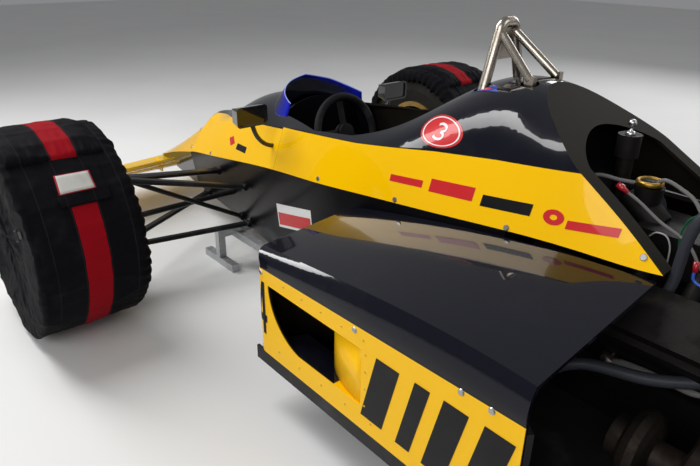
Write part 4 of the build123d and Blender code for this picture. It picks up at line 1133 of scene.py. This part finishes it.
    def pad(self, name: str, corners: Sequence[Flat], steps: tuple[int, int],
            height: Callable[[float, float], float]) -> tuple[bpy.types.Mesh, list[float]]:
        """Make a closed pad sewn on the tread.

        Args:
            name: the mesh's name.
            corners: turn in degrees and place along the axle of its four corners, in order round it.
            steps: faces along and across.
            height: how far its upper side stands out, by its two shares.

        Returns:
            Its mesh, and 1 for each point that is sewn down.
        """
        verts: list[Vector] = []
        maps: list[Flat] = []
        held: list[float] = []
        rows, columns = steps[0] + 1, steps[1] + 1
        for upper in (True, False):
            for i in range(rows):
                for j in range(columns):
                    s, t = i / steps[0], j / steps[1]
                    turn, across = between(corners, t, s)
                    place, out = self.lay(turn, across)
                    verts.append(place + out * (height(s, t) if upper else -self.sewn_depth))
                    maps.append((math.radians(turn) * self.map_radius, across))
                    held.append(1.0 if not upper or i in (0, rows - 1) or j in (0, columns - 1) else 0.0)
        return charted(name, verts, double_sheet(rows, columns), maps), held

    def puff(self, s: float, t: float) -> float:
        """Height of the top flap by its share along the tread and across it."""
        long, wide = math.radians(self.flap[1] - self.flap[0]) * self.top, 2 * self.half
        rear, side = (1 - s) * long, min(t, 1 - t) * wide
        near = min(s * long, rear, side)
        round_edge = math.sqrt(max(0.0, 1 - (1 - min(near / 0.013, 1.0)) ** 2))
        way = Vector((s * 5.0, t * 5.0, self.seed + 2.2))
        rear_creases = ridge(Vector((t * 17, s * 3, self.seed)), 4) * math.exp(-rear / 0.035)
        side_creases = ridge(Vector((s * 15, t * 3, self.seed + 5)), 4) * math.exp(-side / 0.04)
        loft = self.flap_height + noise(way) * 0.0030 + noise(way * 3) * 0.0018 + 0.013 * math.exp(-rear / 0.075)
        return 0.0015 + round_edge * (loft - 0.008 * rear_creases - 0.004 * side_creases)

    @staticmethod
    def patch_height(s: float, t: float) -> float:
        """Height of the label's patch, whose rear hem stands up, by its share along the tread and across it."""
        flat, hem, hem_from = 0.0016, 0.0045, 0.72
        wave = 0.0012 * noise(Vector((s * 6, t * 6, 1.0)))
        return flat + hem * max(0.0, s - hem_from) / (1 - hem_from) + wave

    def build(self) -> None:
        """Build both jackets with what is sewn on them."""
        end = self.end
        cloth = Cloth(f"warmer_cloth_{end}", 0.073)
        plain = Cloth(f"warmer_patch_{end}", 0.0)
        label = Satin(f"blank_label_{end}", (0.50, 0.50, 0.47), 0.42, 500.0, 0.0002, (0.3, 0.28, 0.26), 0.4)
        border = Satin(f"label_border_{end}", (0.36, 0.02, 0.03), 0.6, 600.0, 0.0003)
        web = Satin(f"strap_webbing_{end}", (0.022, 0.022, 0.024), 0.6, 900.0, 0.0006)
        jacket = self.jacket()
        self.skin = BVHTree.FromPolygons([v.co for v in jacket.vertices], [list(p.vertices) for p in jacket.polygons])
        first, last = self.flap
        inboard, outboard = -self.half + 0.040, self.half - 0.004
        corners = ((first, inboard), (first, outboard), (last, outboard), (last, inboard + 0.006))
        flap, held = self.pad(f"warmer_flap_{end}", corners, (78, 60), self.puff)
        settle(flap, held, pressure=2.5, growth=0.03, cap=0.007)
        corners = ((118.0, -0.085), (118.0, 0.060), (150.5, 0.060), (150.5, -0.085))
        patch, _ = self.pad(f"warmer_patch_{end}", corners, (26, 20), self.patch_height)
        tag = ((133.6, 0.0455), (133.9, -0.0455), (143.2, -0.0475), (143.4, 0.0500))
        middle = tuple(sum(c[k] for c in tag) / 4 for k in (0, 1))
        wider = tuple(tuple(middle[k] + (c[k] - middle[k]) * 1.09 for k in (0, 1)) for c in tag)
        back, _ = self.pad(f"label_border_{end}", wider, (6, 10), lambda s, t: 0.0042)
        face, _ = self.pad(f"warmer_label_{end}", tag, (6, 10), lambda s, t: 0.0050)
        straps, buckles = self.straps()
        for side, sign in SIDES.items():
            body = f"wheel_{end}_{side}"
            made = piece(f"warmer_{end}_{side}_cloth", mirrored(jacket, sign), cloth, body)
            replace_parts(made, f"warmer_{end}_{side}")
            top_flap = piece(f"warmer_flap_{end}_{side}", mirrored(flap, sign), cloth, body)
            for part, mesh, finish, smooth in (("patch", patch, plain, True), ("straps", straps, web, False),
                                               ("buckles", buckles, web, False)):
                piece(f"warmer_{part}_{end}_{side}", mirrored(mesh, sign), finish, body, smooth)
            if side == "left":
                piece(f"label_border_{end}", back, border, body)
                piece(f"warmer_label_{end}", face, label, body)

    def straps(self) -> tuple[bpy.types.Mesh, bpy.types.Mesh]:
        """Make the two straps with ladder buckles that close the outer side.

        Returns:
            The webbing's mesh and the buckles' mesh.
        """
        webbing, buckles = Builder(), Builder()
        bar = ((0.0, 0.0), (0.0, 0.0024), (0.001, 0.003), (0.033, 0.003), (0.034, 0.0024), (0.034, 0.0))
        step_out = Vector((0, 0.0022, 0))
        for turn in (158.0, 22.0):
            out = radial(turn)
            along = Vector((-out.z, 0, out.x))
            path = []
            for k in range(9):
                start = self.hub + out * (self.tyre_r - 0.045 - 0.016 * k) + Vector((0, 0.5, 0))
                path.append(self.skin.ray_cast(start, Vector((0, -1, 0)))[0] + step_out)
            webbing.add(ribbon(path, along, 0.022, 0.0016))
            middle = path[4] + step_out
            for offset in (-0.016, 0.016, 0.0):
                buckles.add(turned(bar, middle + out * offset - along * 0.017, along, 10))
            for offset in (-0.0155, 0.0155):
                buckles.add(turned(bar, middle + along * offset - out * 0.017, out, 10))
        return webbing.mesh(f"warmer_straps_{self.end}"), buckles.mesh(f"warmer_buckles_{self.end}")


@dataclass
class Wheels:
    """Tyres, rims, hubs, uprights and warmers of the four corners."""

    front_hub: Vector = field(default_factory=lambda: Vector((FRONT_AXLE, 0.9065, 0.350)))
    rear_hub: Vector = field(default_factory=lambda: Vector((-1.630, 0.8305, 0.362)))

    def build(self) -> None:
        """Dress the wheels and build their warmers."""
        for part, finish in (
                ("rim", Metal("gold_alloy", (0.50, 0.36, 0.15), 0.36, (0.12, 0.08, 0.03), 0.3)),
                ("hub", Metal("hub_and_disc_iron", (0.22, 0.21, 0.2), 0.42, (0.09, 0.05, 0.03), 0.5)),
                ("upright", Satin("black_casting", (0.02, 0.02, 0.021), 0.45))):
            dress(finish, *(f"{part}_{end}_{side}" for end in ("front", "rear") for side in SIDES))
        for end, hub, radius, width, seed in (("front", self.front_hub, 0.318, 0.300, 0.0),
                                              ("rear", self.rear_hub, 0.330, 0.392, 7.7)):
            dress(Rubber(f"tyre_rubber_{end}", (hub.x, hub.z)), f"tyre_{end}_left", f"tyre_{end}_right")
            Warmer(end, hub, radius, width, seed).build()


@dataclass
class BodyShell:
    """Painted panels, their stickers and their fasteners."""

    fasteners: Fasteners
    number_height: float = 0.158
    disc_at: Flat = (-1.030, 0.628)

    def paint(self) -> None:
        """Paint the panels."""
        for finish, *nodes in (
                (TwoTone("cowl_paint", Area.COWL), "cockpit_cowl"),
                (TwoTone("nose_paint", Area.NOSE), "nose_cone"),
                (TwoTone("sidepod_paint", Area.POD), "sidepod_left", "sidepod_right"),
                (Gloss("wing_yellow", (0.92, 0.55, 0.0)), "front_wing"),
                (Gloss("tub_black", (0.003, 0.003, 0.004), 0.26, 0.05, 0.0), "monocoque_tub"),
                (Satin("floor_composite", (0.014, 0.014, 0.015), 0.42, 400.0), "flat_floor", "seat"),
                (Gloss("rear_wing_black", (0.010, 0.010, 0.012)), "rear_wing")):
            dress(finish, *nodes)

    def letters(self) -> None:
        """Lay the race number and the plain shapes that stand where the photo has lettering."""
        black = Gloss("sticker_black", (0.004, 0.004, 0.005), 0.35, 0.15)
        red, white, blue = (Gloss(f"sticker_{name}", colour, 0.3, 0.4) for name, colour in (
            ("red", (0.55, 0.016, 0.02)), ("white", (0.75, 0.75, 0.74)), ("blue", (0.02, 0.05, 0.30))))
        pods = Stickers(surface("sidepod_left", "sidepod_right"))
        cowl = Stickers(surface("cockpit_cowl"))
        cowl_red = Stickers(cowl.skin)
        cowl_blue = Stickers(cowl.skin)
        hoop_red = Stickers(cowl.skin, 0.0016)
        cowl_white = Stickers(cowl.skin, 0.0014)
        tub_white = Stickers(surface("monocoque_tub"))
        tub_red = Stickers(tub_white.skin, 0.0012)
        for side in (1, -1):
            self.number(pods, side)
            for front, width, low, high in ((-1.272, 0.070, 0.083, 0.262), (-1.385, 0.042, 0.080, 0.266),
                                            (-1.462, 0.062, 0.078, 0.270), (-1.560, 0.068, 0.076, 0.274)):
                rear, lean = front - width, 0.046
                pods.quad(((front, high), (rear, high), (rear + lean, low), (front + lean, low)), side, 12)
            cowl_red.disc(self.disc_at, (0.075, 0.035), side)
            cowl_white.disc(self.disc_at, (0.067, 0.0312), side, 0.93)
            self.three(cowl_white, side)
            for low, high, front, rear, on in ((0.478, 0.496, -0.915, -1.030, cowl_red),
                                               (0.488, 0.520, -1.055, -1.190, cowl_red),
                                               (0.497, 0.523, -1.215, -1.345, cowl),
                                               (0.505, 0.523, -1.430, -1.540, cowl_red)):
                on.quad(((front, high), (rear, high + 0.012), (rear, low + 0.012), (front, low)), side)
            cowl_red.disc((-1.398, 0.521), (0.024, 0.016), side, 0.35)
            cowl_red.quad(((0.150, 0.336), (0.112, 0.352), (0.075, 0.334), (0.112, 0.316)), side)
            cowl.quad(((0.045, 0.342), (-0.055, 0.352), (-0.055, 0.330), (0.045, 0.320)), side)
            tub_white.quad(((-0.305, 0.212), (-0.545, 0.268), (-0.545, 0.182), (-0.305, 0.118)), side)
            tub_red.quad(((-0.312, 0.180), (-0.538, 0.236), (-0.538, 0.190), (-0.312, 0.130)), side)
            cowl_blue.above(((-1.012, side * 0.101), (-1.086, side * 0.087), (-1.116, side * 0.119),
                             (-1.060, side * 0.111)), 0.690)
            hoop_red.above(((-1.050, side * 0.1035), (-1.078, side * 0.0985), (-1.088, side * 0.108),
                            (-1.064, side * 0.1095)), 0.690)
        for made, name, finish, slot in ((pods, "sidepod_number_and_bars", black, "black_gloss"),
                                         (cowl, "cowl_black_shapes", black, "black_gloss"),
                                         (cowl_red, "cowl_red_shapes", red, "yellow_paint"),
                                         (cowl_white, "cowl_white_shapes", white, "yellow_paint"),
                                         (cowl_blue, "cowl_blue_shapes", blue, "yellow_paint"),
                                         (hoop_red, "cowl_red_marks", red, "yellow_paint"),
                                         (tub_white, "tub_white_panel", white, "yellow_paint"),
                                         (tub_red, "tub_red_panel", red, "yellow_paint")):
            made.finish(name, finish, slot)

    def outlets(self) -> None:
        """Build the yellow ramp behind each pod's outlet and, inside it, a near-black wall that stands for the
        radiator's face and paints the shade inside the pod.
        """
        ramp = ((-1.2235, 0.6515), (-1.200, 0.6500), (-1.165, 0.6450), (-1.130, 0.6360), (-1.100, 0.6240),
                (-1.075, 0.6090), (-1.058, 0.5930), (-1.048, 0.5740))
        core = ((-1.052, 0.576), (-1.040, 0.540), (-1.000, 0.500), (-0.930, 0.475), (-0.868, 0.495), (-0.838, 0.540),
                (-0.826, 0.595), (-0.826, 0.646))
        yellow = Gloss("outlet_ramp_yellow", (0.90, 0.50, 0.0), 0.35, 0.2)
        # The wall's near-black colour is painted shade for the inside of the pod, deeper than the radiators' own alloy.
        dark = Satin("radiator_face_painted_shade", (0.012, 0.009, 0.006), 0.6, 500.0, 0.0010, (0.04, 0.03, 0.02), 0.3)
        for side, sign in SIDES.items():
            for name, plan, low, high, finish, slot in (("outlet_ramp", ramp, 0.1035, 0.262, yellow, "yellow_paint"),
                                                        ("outlet_core", core, 0.0085, 0.296, dark, "black_gloss")):
                fitting(f"{name}_{side}", [self.wall(plan, low, high, sign)], finish)

    def wall(self, plan: Sequence[Flat], low: float, high: float, sign: int, thick: float = 0.003) -> Shape:
        """Upright sheet over a line of stations and sides."""
        verts: list[Vector] = []
        for k, (x, y) in enumerate(plan):
            run = heading(plan, k)
            inside = Vector((-run.y, run.x)) * (-thick if run.x > 0 else thick)
            for dx, dy, height in ((0, 0, low), (0, 0, high), (*inside, high), (*inside, low)):
                verts.append(spot(x + dx, sign * (y + dy), height))
        return capped(verts, 4)

    def number(self, pods: Stickers, side: int) -> None:
        """Lay a plain figure four on a sidepod's front corner, so that it reads from its own side."""
        low, high = 0.102, 0.102 + self.number_height
        front, rear, bar = -0.804, -0.850, 0.013
        under_arm, over_arm, tip = low + 0.038, low + 0.060, high - 0.042
        stem_share, foot_share = 0.84, 0.24

        def read(share: float) -> float:
            """Station at a share of the figure's width as read from left to right."""
            return front + (rear - front) * share if side > 0 else rear + (front - rear) * share

        stem, stem_left = read(stem_share), read(stem_share - bar / (front - rear))
        left, right, foot = read(0.0), read(1.0), read(foot_share)
        pods.quad(((stem_left, high), (stem, high), (stem, low), (stem_left, low)), side, 14)
        pods.quad(((left, over_arm), (right, over_arm), (right, under_arm), (left, under_arm)), side)
        pods.quad(((stem_left, high), (stem_left, tip), (foot, over_arm), (left, over_arm)), side)

    def three(self, cowl: Stickers, side: int) -> None:
        """Lay a plain figure three on the disc, so that it reads from its own side."""
        x, z = self.disc_at
        apart, reach, height, shift, width = 0.0082, 0.017, 0.0085, 0.002, 0.0055
        bowls = []
        for middle, first, last in ((apart, 150, -80), (-apart, 80, -150)):
            for angle in range(first, last - 1, -23):
                turn = math.radians(angle)
                bowls.append((x - side * (reach * math.cos(turn) - shift), z + middle + height * math.sin(turn)))
        cowl.stroke(bowls, width, side)

    def fix(self) -> None:
        """Put the quick fasteners and rivets along the panels' edges."""
        chrome = Metal("fastener_steel", (0.42, 0.42, 0.42), 0.3, (0.1, 0.1, 0.1), 0.3)
        painted = Gloss("painted_rivet", (0.62, 0.34, 0.0), 0.3, 0.5)
        pods, cowl, nose = surface("sidepod_left", "sidepod_right"), surface("cockpit_cowl"), surface("nose_cone")
        rows = [(-1.238, 0.112 + 0.046 * k) for k in range(4)]
        rows += [(-0.93 - 0.075 * k, 0.283) for k in range(5)] + [(-0.90 - 0.090 * k, 0.074) for k in range(5)]
        turns = [(pods, -1.50, 0.312), (pods, -1.57, 0.314), (pods, -0.83, 0.286), (pods, -1.20, 0.296),
                 (cowl, -1.600, 0.497), (cowl, -1.300, 0.470), (cowl, -0.950, 0.436), (cowl, -0.600, 0.396),
                 (cowl, 0.300, 0.236), (nose, 0.585, 0.188), (nose, 0.585, 0.262)]
        rivets = [side_hit(pods, x, z, side) for side in (1, -1) for x, z in rows]
        locks = [side_hit(skin, x, z, side) for side in (1, -1) for skin, x, z in turns]
        self.fasteners.place("sidepod_rivets", [s for s in rivets if s], 0.0034, 0.0014, painted, "yellow_paint", 10)
        self.fasteners.place("panel_fasteners", [s for s in locks if s], 0.0078, 0.0026, chrome,
                             "galvanised_steel", 20, 0.8)

    def build(self) -> None:
        """Paint, letter and fix the panels."""
        self.paint()
        self.outlets()
        self.letters()
        self.fix()


@dataclass
class Cockpit:
    """Screen, mirrors, steering wheel, seat belts and roll hoop."""

    belt_width: float = 0.050
    half_sweep: float = 80.0
    screen_top: float = 0.622
    axis_station: float = -0.330
    steps: int = 56
    levels: int = 14
    thick: float = 0.003

    def build(self) -> None:
        """Dress the cockpit."""
        self.screen()
        dress(Gloss("mirror_black", (0.008, 0.008, 0.009)), "mirrors")
        dress(Metal("plated_tube", (0.46, 0.41, 0.35), 0.24, (0.16, 0.13, 0.1), 0.25), "roll_hoop")
        dress(Satin("wheel_grip", (0.004, 0.004, 0.005), 0.7, 700.0, 0.0006), "steering_wheel")
        self.belts()

    def screen(self) -> None:
        """Build the leaning wrap-round screen, whose top edge falls to the cockpit rim."""
        cowl = surface("cockpit_cowl")
        outer: list[Vector] = []
        inner: list[Vector] = []
        maps: list[Flat] = []
        for i in range(self.steps + 1):
            turn = math.radians(-self.half_sweep + 2 * self.half_sweep * i / self.steps)
            share = abs(turn) / math.radians(90)
            top = self.screen_top - 0.024 * min(share / 0.45, 1) - 0.050 * max(0.0, share - 0.45) / 0.55

            def sheet(height: float) -> Vector:
                """Place on the sheet at a height over the flat bottom."""
                rise = (height - 0.450) / 0.190
                front, half = 0.020 - 0.195 * rise, 0.193 - 0.045 * rise
                reach = (front - self.axis_station) * math.cos(turn)
                return spot(self.axis_station + reach, half * math.sin(turn), height)

            low = top
            while low > 0.440:
                here = sheet(low)
                under, _, _, _ = cowl.ray_cast(here + Vector((0, 0, 0.10)), Vector((0, 0, -1)))
                if under is not None and under.z >= here.z:
                    break
                low -= 0.003
            away = Vector((math.cos(turn), math.sin(turn) * 1.3, 0.5)).normalized() * self.thick
            for j in range(self.levels + 1):
                here = sheet(low + (top - low) * j / self.levels)
                outer.append(here)
                inner.append(here - away)
                maps.append((i / self.steps, j / self.levels))
        mesh = charted("screen_sheet", outer + inner, double_sheet(self.steps + 1, self.levels + 1), maps + maps)
        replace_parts(piece("screen_sheet", mesh, Screen(), "chassis"), "windscreen")

    def belts(self) -> None:
        """Lay the two shoulder belts and the lap belt on the seat."""
        path = ((-0.985, 0.455), (-0.952, 0.430), (-0.940, 0.330), (-0.895, 0.150), (-0.845, 0.075))
        lap = ((0.19, 0.090), (0.10, 0.070), (0.03, 0.062))
        shapes = []
        for sign in (1, -1):
            over = [spot(x, sign * (0.085 - 0.03 * k / 4), height) for k, (x, height) in enumerate(path)]
            across = [spot(-0.80, sign * y, height) for y, height in lap]
            shapes += [ribbon(over, Vector((0, 1, 0)), self.belt_width, 0.003),
                       ribbon(across, Vector((1, 0, 0)), self.belt_width, 0.003)]
        cloth = Satin("belt_webbing", (0.10, 0.11, 0.30), 0.7, 900.0, 0.0005)
        fitting("seat_belts", shapes, cloth, smooth=False)


@dataclass(frozen=True)
class Hose:
    """One flexible line of the engine bay: radius, sides of the car and places as station, side, height in mm."""

    radius: float
    sides: tuple[int, ...]
    places: tuple[tuple[float, float, float], ...]

    def path(self, side: int) -> list[Vector]:
        """Its places on one side of the car, in metres."""
        return [spot(x / 1000, side * y / 1000, height / 1000) for x, y, height in self.places]

    def shapes(self) -> list[Shape]:
        """Its tubes, one for each side it has."""
        return [tube(self.path(side), self.radius / 1000, 14, 8) for side in self.sides]


@dataclass
class EngineBay:
    """Engine, gearbox, turbochargers, radiators and hoses, with their small fittings."""

    fasteners: Fasteners
    rubber: tuple[Hose, ...] = (
        Hose(11.5, (1, -1), ((-1756, 66, 490), (-1754, 84, 580), (-1722, 146, 634), (-1680, 196, 606),
                             (-1661, 205, 548), (-1651, 202, 443), (-1622, 200, 366), (-1602, 200, 318))),
        Hose(13, (1, -1), ((-1500, 420, 236), (-1560, 336, 262), (-1690, 292, 275), (-1800, 232, 300))),
        Hose(11, (1, -1), ((-1340, 150, 390), (-1346, 160, 470), (-1372, 166, 492), (-1440, 156, 488),
                           (-1480, 110, 470), (-1500, 74, 440))),
    )
    grey: tuple[Hose, ...] = (
        Hose(4.6, (1,), ((-1345, 96, 545), (-1379, 62, 573), (-1424, 30, 566), (-1463, 6, 562))),
        Hose(4.6, (1,), ((-1490, -8, 566), (-1515, 0, 583), (-1553, 0, 572), (-1593, 6, 552), (-1640, 30, 500))),
        Hose(3.6, (1,), ((-1470, 96, 569), (-1511, 100, 553), (-1561, 100, 524), (-1628, 104, 497),
                         (-1668, 110, 452))),
        Hose(8.0, (1,), ((-1540, 190, 178), (-1580, 205, 216), (-1631, 206, 226), (-1695, 204, 228),
                         (-1756, 200, 232), (-1800, 150, 250))),
    )
    white: tuple[Hose, ...] = (
        Hose(1.8, (1,), ((-1540, 84, 478), (-1560, 100, 498), (-1582, 100, 496), (-1594, 100, 474),
                         (-1596, 100, 440), (-1590, 84, 410))),
    )
    green: tuple[Hose, ...] = (
        Hose(2.6, (1,), ((-1680, 120, 560), (-1648, 112, 570), (-1618, 102, 545), (-1609, 100, 501),
                         (-1620, 98, 451), (-1626, 84, 410))),
    )

    def build(self) -> None:
        """Dress the engine bay."""
        # Painted shade: the engine and gearbox get a near-black alloy colour that stands for the shadow over the engine
        # bay.
        dress(Metal("cast_alloy", (0.026, 0.024, 0.023), 0.55, (0.012, 0.009, 0.007), 0.5, 60.0, 0.0015),
              "engine", "gearbox")
        dress(Metal("turbo_iron", (0.040, 0.034, 0.030), 0.55, (0.03, 0.016, 0.010), 0.6, 60.0, 0.001),
              "turbochargers")
        dress(Metal("radiator_alloy", (0.10, 0.10, 0.105), 0.5, (0.03, 0.03, 0.03), 0.4), "radiators")
        self.hoses()
        self.fittings()

    def hoses(self) -> None:
        """Build the hoses and lines."""
        for name, runs, finish in (
                ("engine_bay_hoses", self.rubber, Satin("hose_rubber", (0.030, 0.032, 0.040), 0.42, 400.0)),
                ("engine_bay_lines", self.grey, Satin("grey_line", (0.16, 0.155, 0.15), 0.5, 400.0)),
                ("breather_line", self.white, Satin("clear_line", (0.42, 0.42, 0.40), 0.4, 400.0)),
                ("signal_cable", self.green, Satin("green_sheath", (0.004, 0.10, 0.035), 0.4, 400.0))):
            shapes = [shape for run in runs for shape in run.shapes()]
            whole = fitting(name, shapes, finish)
            if name == "engine_bay_hoses":
                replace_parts(whole, "engine_hoses")

    def fittings(self) -> None:
        """Put the turned fittings and hose clamps on."""
        gold = Metal("gold_fitting", (0.50, 0.30, 0.05), 0.34, (0.16, 0.09, 0.02), 0.4)
        silver = Metal("silver_fitting", (0.55, 0.55, 0.56), 0.24, (0.2, 0.2, 0.2), 0.2)
        red = Gloss("red_fitting", (0.40, 0.012, 0.02), 0.3)
        blue = Gloss("blue_fitting", (0.03, 0.09, 0.45), 0.25)
        # dark: near-black satin that paints the shade down the plenum's bore.
        dark = Satin("painted_bore_shade", (0.012, 0.010, 0.009), 0.6)
        tilt, centre = Vector((0.03, 0, 1)), spot(-1.481, 0, 0.562)
        upper = ((0.0, 0.0), (0.0, 0.029), (0.003, 0.031), (0.010, 0.031), (0.013, 0.029), (0.013, 0.024),
                 (0.009, 0.0225), (0.009, 0.0))
        lower = ((-0.024, 0.0), (-0.024, 0.030), (-0.021, 0.032), (-0.015, 0.032), (-0.012, 0.028), (-0.012, 0.0))
        fitting("plenum_cap_ring", [turned(rows, centre, tilt, 40) for rows in (upper, lower)], gold)
        # Painted shade: a near-black disc just inside the gold ring's mouth stands for the shade down the plenum's
        # bore.
        shaded_bore_disc = ((0.0088, 0.0), (0.0088, 0.0215), (0.0100, 0.0215), (0.0096, 0.0))
        fitting("plenum_bore_shade_disc", [turned(shaded_bore_disc, centre, tilt, 32)], dark)
        knob = ((0.0, 0.0), (0.0, 0.010), (0.002, 0.0115), (0.010, 0.0115), (0.012, 0.009), (0.013, 0.0034),
                (0.026, 0.0030), (0.028, 0.0085), (0.030, 0.0100), (0.036, 0.0095), (0.040, 0.0060), (0.041, 0.0))
        fitting("filler_knob", [turned(knob, spot(-1.390, -0.050, 0.650), Vector((0, 0, 1)), 28)], silver)
        nut = ((0.0, 0.0), (0.0, 0.0075), (0.016, 0.0085), (0.018, 0.006), (0.030, 0.005), (0.030, 0.0))
        sleeve = ((0.0, 0.0), (0.0, 0.006), (0.022, 0.006), (0.022, 0.0))
        fitting("red_unions", [turned(nut, spot(-1.452, 0.095, 0.577), Vector((-0.9, 0.1, -0.35)), 6),
                               turned(sleeve, spot(-1.669, 0.150, 0.486), Vector((-0.1, 0.1, -1)), 12)], red)
        clamp = ((-0.022, 0.0), (-0.022, 0.0122), (-0.020, 0.0132), (-0.002, 0.0132), (0.0, 0.0120), (0.0, 0.0))
        flange = ((-0.012, 0.0), (-0.012, 0.018), (-0.008, 0.022), (0.010, 0.022), (0.014, 0.018), (0.014, 0.0))
        clamps, joints = [], []
        for side in (1, -1):
            before, end = self.rubber[0].path(side)[-2:]
            goal = spot(-1.560, side * 0.196, 0.212)
            length = (goal - end).length
            joint = ((-0.004, 0.0), (-0.004, 0.0100), (0.004, 0.0095), (0.006, 0.0050), (length * 0.40, 0.0050),
                     (length * 0.42, 0.0105), (length * 0.54, 0.0105), (length * 0.56, 0.0060), (length, 0.0060),
                     (length, 0.0))
            clamps.append(turned(clamp, end, end - before, 24))
            joints += [turned(joint, end, goal - end, 14), turned(flange, goal, goal - end, 24)]
        loop = ((-1.669, 0.150, 0.466), (-1.672, 0.152, 0.446), (-1.690, 0.150, 0.438), (-1.706, 0.146, 0.450))
        clamps.append(tube([spot(*place) for place in loop], 0.0035, 10, 6))
        fitting("blue_clamps", clamps, blue)
        fitting("hose_unions", joints, Metal("stained_union", (0.20, 0.18, 0.16), 0.4))


class Undercarriage:
    """Wishbones, rods and rack, and the two paddock stands."""

    def build(self) -> None:
        """Dress the suspension and the stands."""
        dress(Satin("wishbone_black", (0.012, 0.012, 0.013), 0.32, 500.0, 0.0002, (0.12, 0.12, 0.12), 0.2),
              "front_wishbones", "rear_wishbones", "steering_rack")
        dress(Zinc(), "front_stand", "rear_stand")


@dataclass
class Studio:
    """Floor, lights, camera and background."""

    place: tuple[float, float, float] = (-1.012, 1.426, 1.206)
    yaw: float = 0.713
    pitch: float = 0.428
    roll: float = 0.014
    focal_px: float = 630.9
    width_px: int = 700
    sensor_mm: float = 36.0

    def camera(self) -> None:
        """Set the camera where the photo was taken from."""
        lens = bpy.data.cameras.new("camera")
        lens.sensor_width = self.sensor_mm
        lens.lens = self.focal_px / self.width_px * self.sensor_mm
        lens.clip_start = 0.01
        ahead = Vector((math.cos(self.pitch) * math.cos(self.yaw), -math.cos(self.pitch) * math.sin(self.yaw),
                        -math.sin(self.pitch)))
        right = ahead.cross(Vector((0, 0, 1))).normalized()
        above = right.cross(ahead)
        tilt_right = right * math.cos(self.roll) + above * math.sin(self.roll)
        tilt_up = above * math.cos(self.roll) - right * math.sin(self.roll)
        turn = Matrix((tilt_right, tilt_up, -ahead)).transposed().to_4x4()
        made = shown("camera", lens)
        made.matrix_world = Matrix.Translation(Vector(self.place)) @ turn
        bpy.context.scene.camera = made

    def light(self, name: str, place: Vector, target: Vector, size: Flat, power: float) -> None:
        """Add a soft rectangular lamp aimed at a point."""
        lamp = bpy.data.lights.new(name, "AREA")
        lamp.shape = "RECTANGLE"
        lamp.size, lamp.size_y = size
        lamp.energy = power
        made = shown(name, lamp)
        made.matrix_world = Matrix.Translation(place) @ (target - place).to_track_quat("-Z", "Y").to_matrix().to_4x4()

    def build(self) -> None:
        """Build the studio."""
        mesh = mesh_of("floor", [(-14, -14, 0), (14, -14, 0), (14, 14, 0), (-14, 14, 0)], [(0, 1, 2, 3)])
        floor = shown("floor", mesh)
        g = Graph("pale_floor")
        cloud = g.noise(1.2, 4.0)
        g.finish(Base_Color=g.blend(cloud, (0.70, 0.70, 0.69), (0.78, 0.78, 0.77)), Roughness=cloud * 0.2 + 0.55)
        mesh.materials.append(g.material)
        world = bpy.data.worlds.new("studio")
        bpy.context.scene.world = world
        world.use_nodes = True
        background = world.node_tree.nodes["Background"].inputs
        background["Color"].default_value = (0.80, 0.81, 0.83, 1.0)
        background["Strength"].default_value = 0.30
        for name, place, target, size, power in (
                ("door", (2.8, 1.45, 3.7), (0.0, 0.55, 0.4), (1.3, 4.0), 165.0),
                ("left", (-1.6, 4.4, 2.9), (-0.2, 0.4, 0.3), (4.0, 2.6), 115.0),
                ("rear", (-4.2, -2.8, 3.4), (-0.5, 0.0, 0.5), (3.0, 2.5), 50.0),
                ("right", (1.0, -5.0, 2.6), (0.2, -0.3, 0.3), (3.0, 2.0), 70.0)):
            self.light(name, Vector(place), Vector(target), size, power)
        bpy.context.scene.view_settings.view_transform = "Standard"
        self.camera()


def main() -> None:
    """Dress the car, piece by piece."""
    logging.basicConfig(level=logging.INFO, format="%(message)s")
    fasteners = Fasteners()
    Studio().build()
    BodyShell(fasteners).build()
    Cockpit().build()
    EngineBay(fasteners).build()
    Undercarriage().build()
    Wheels().build()


if __name__ == "__main__":
    main()
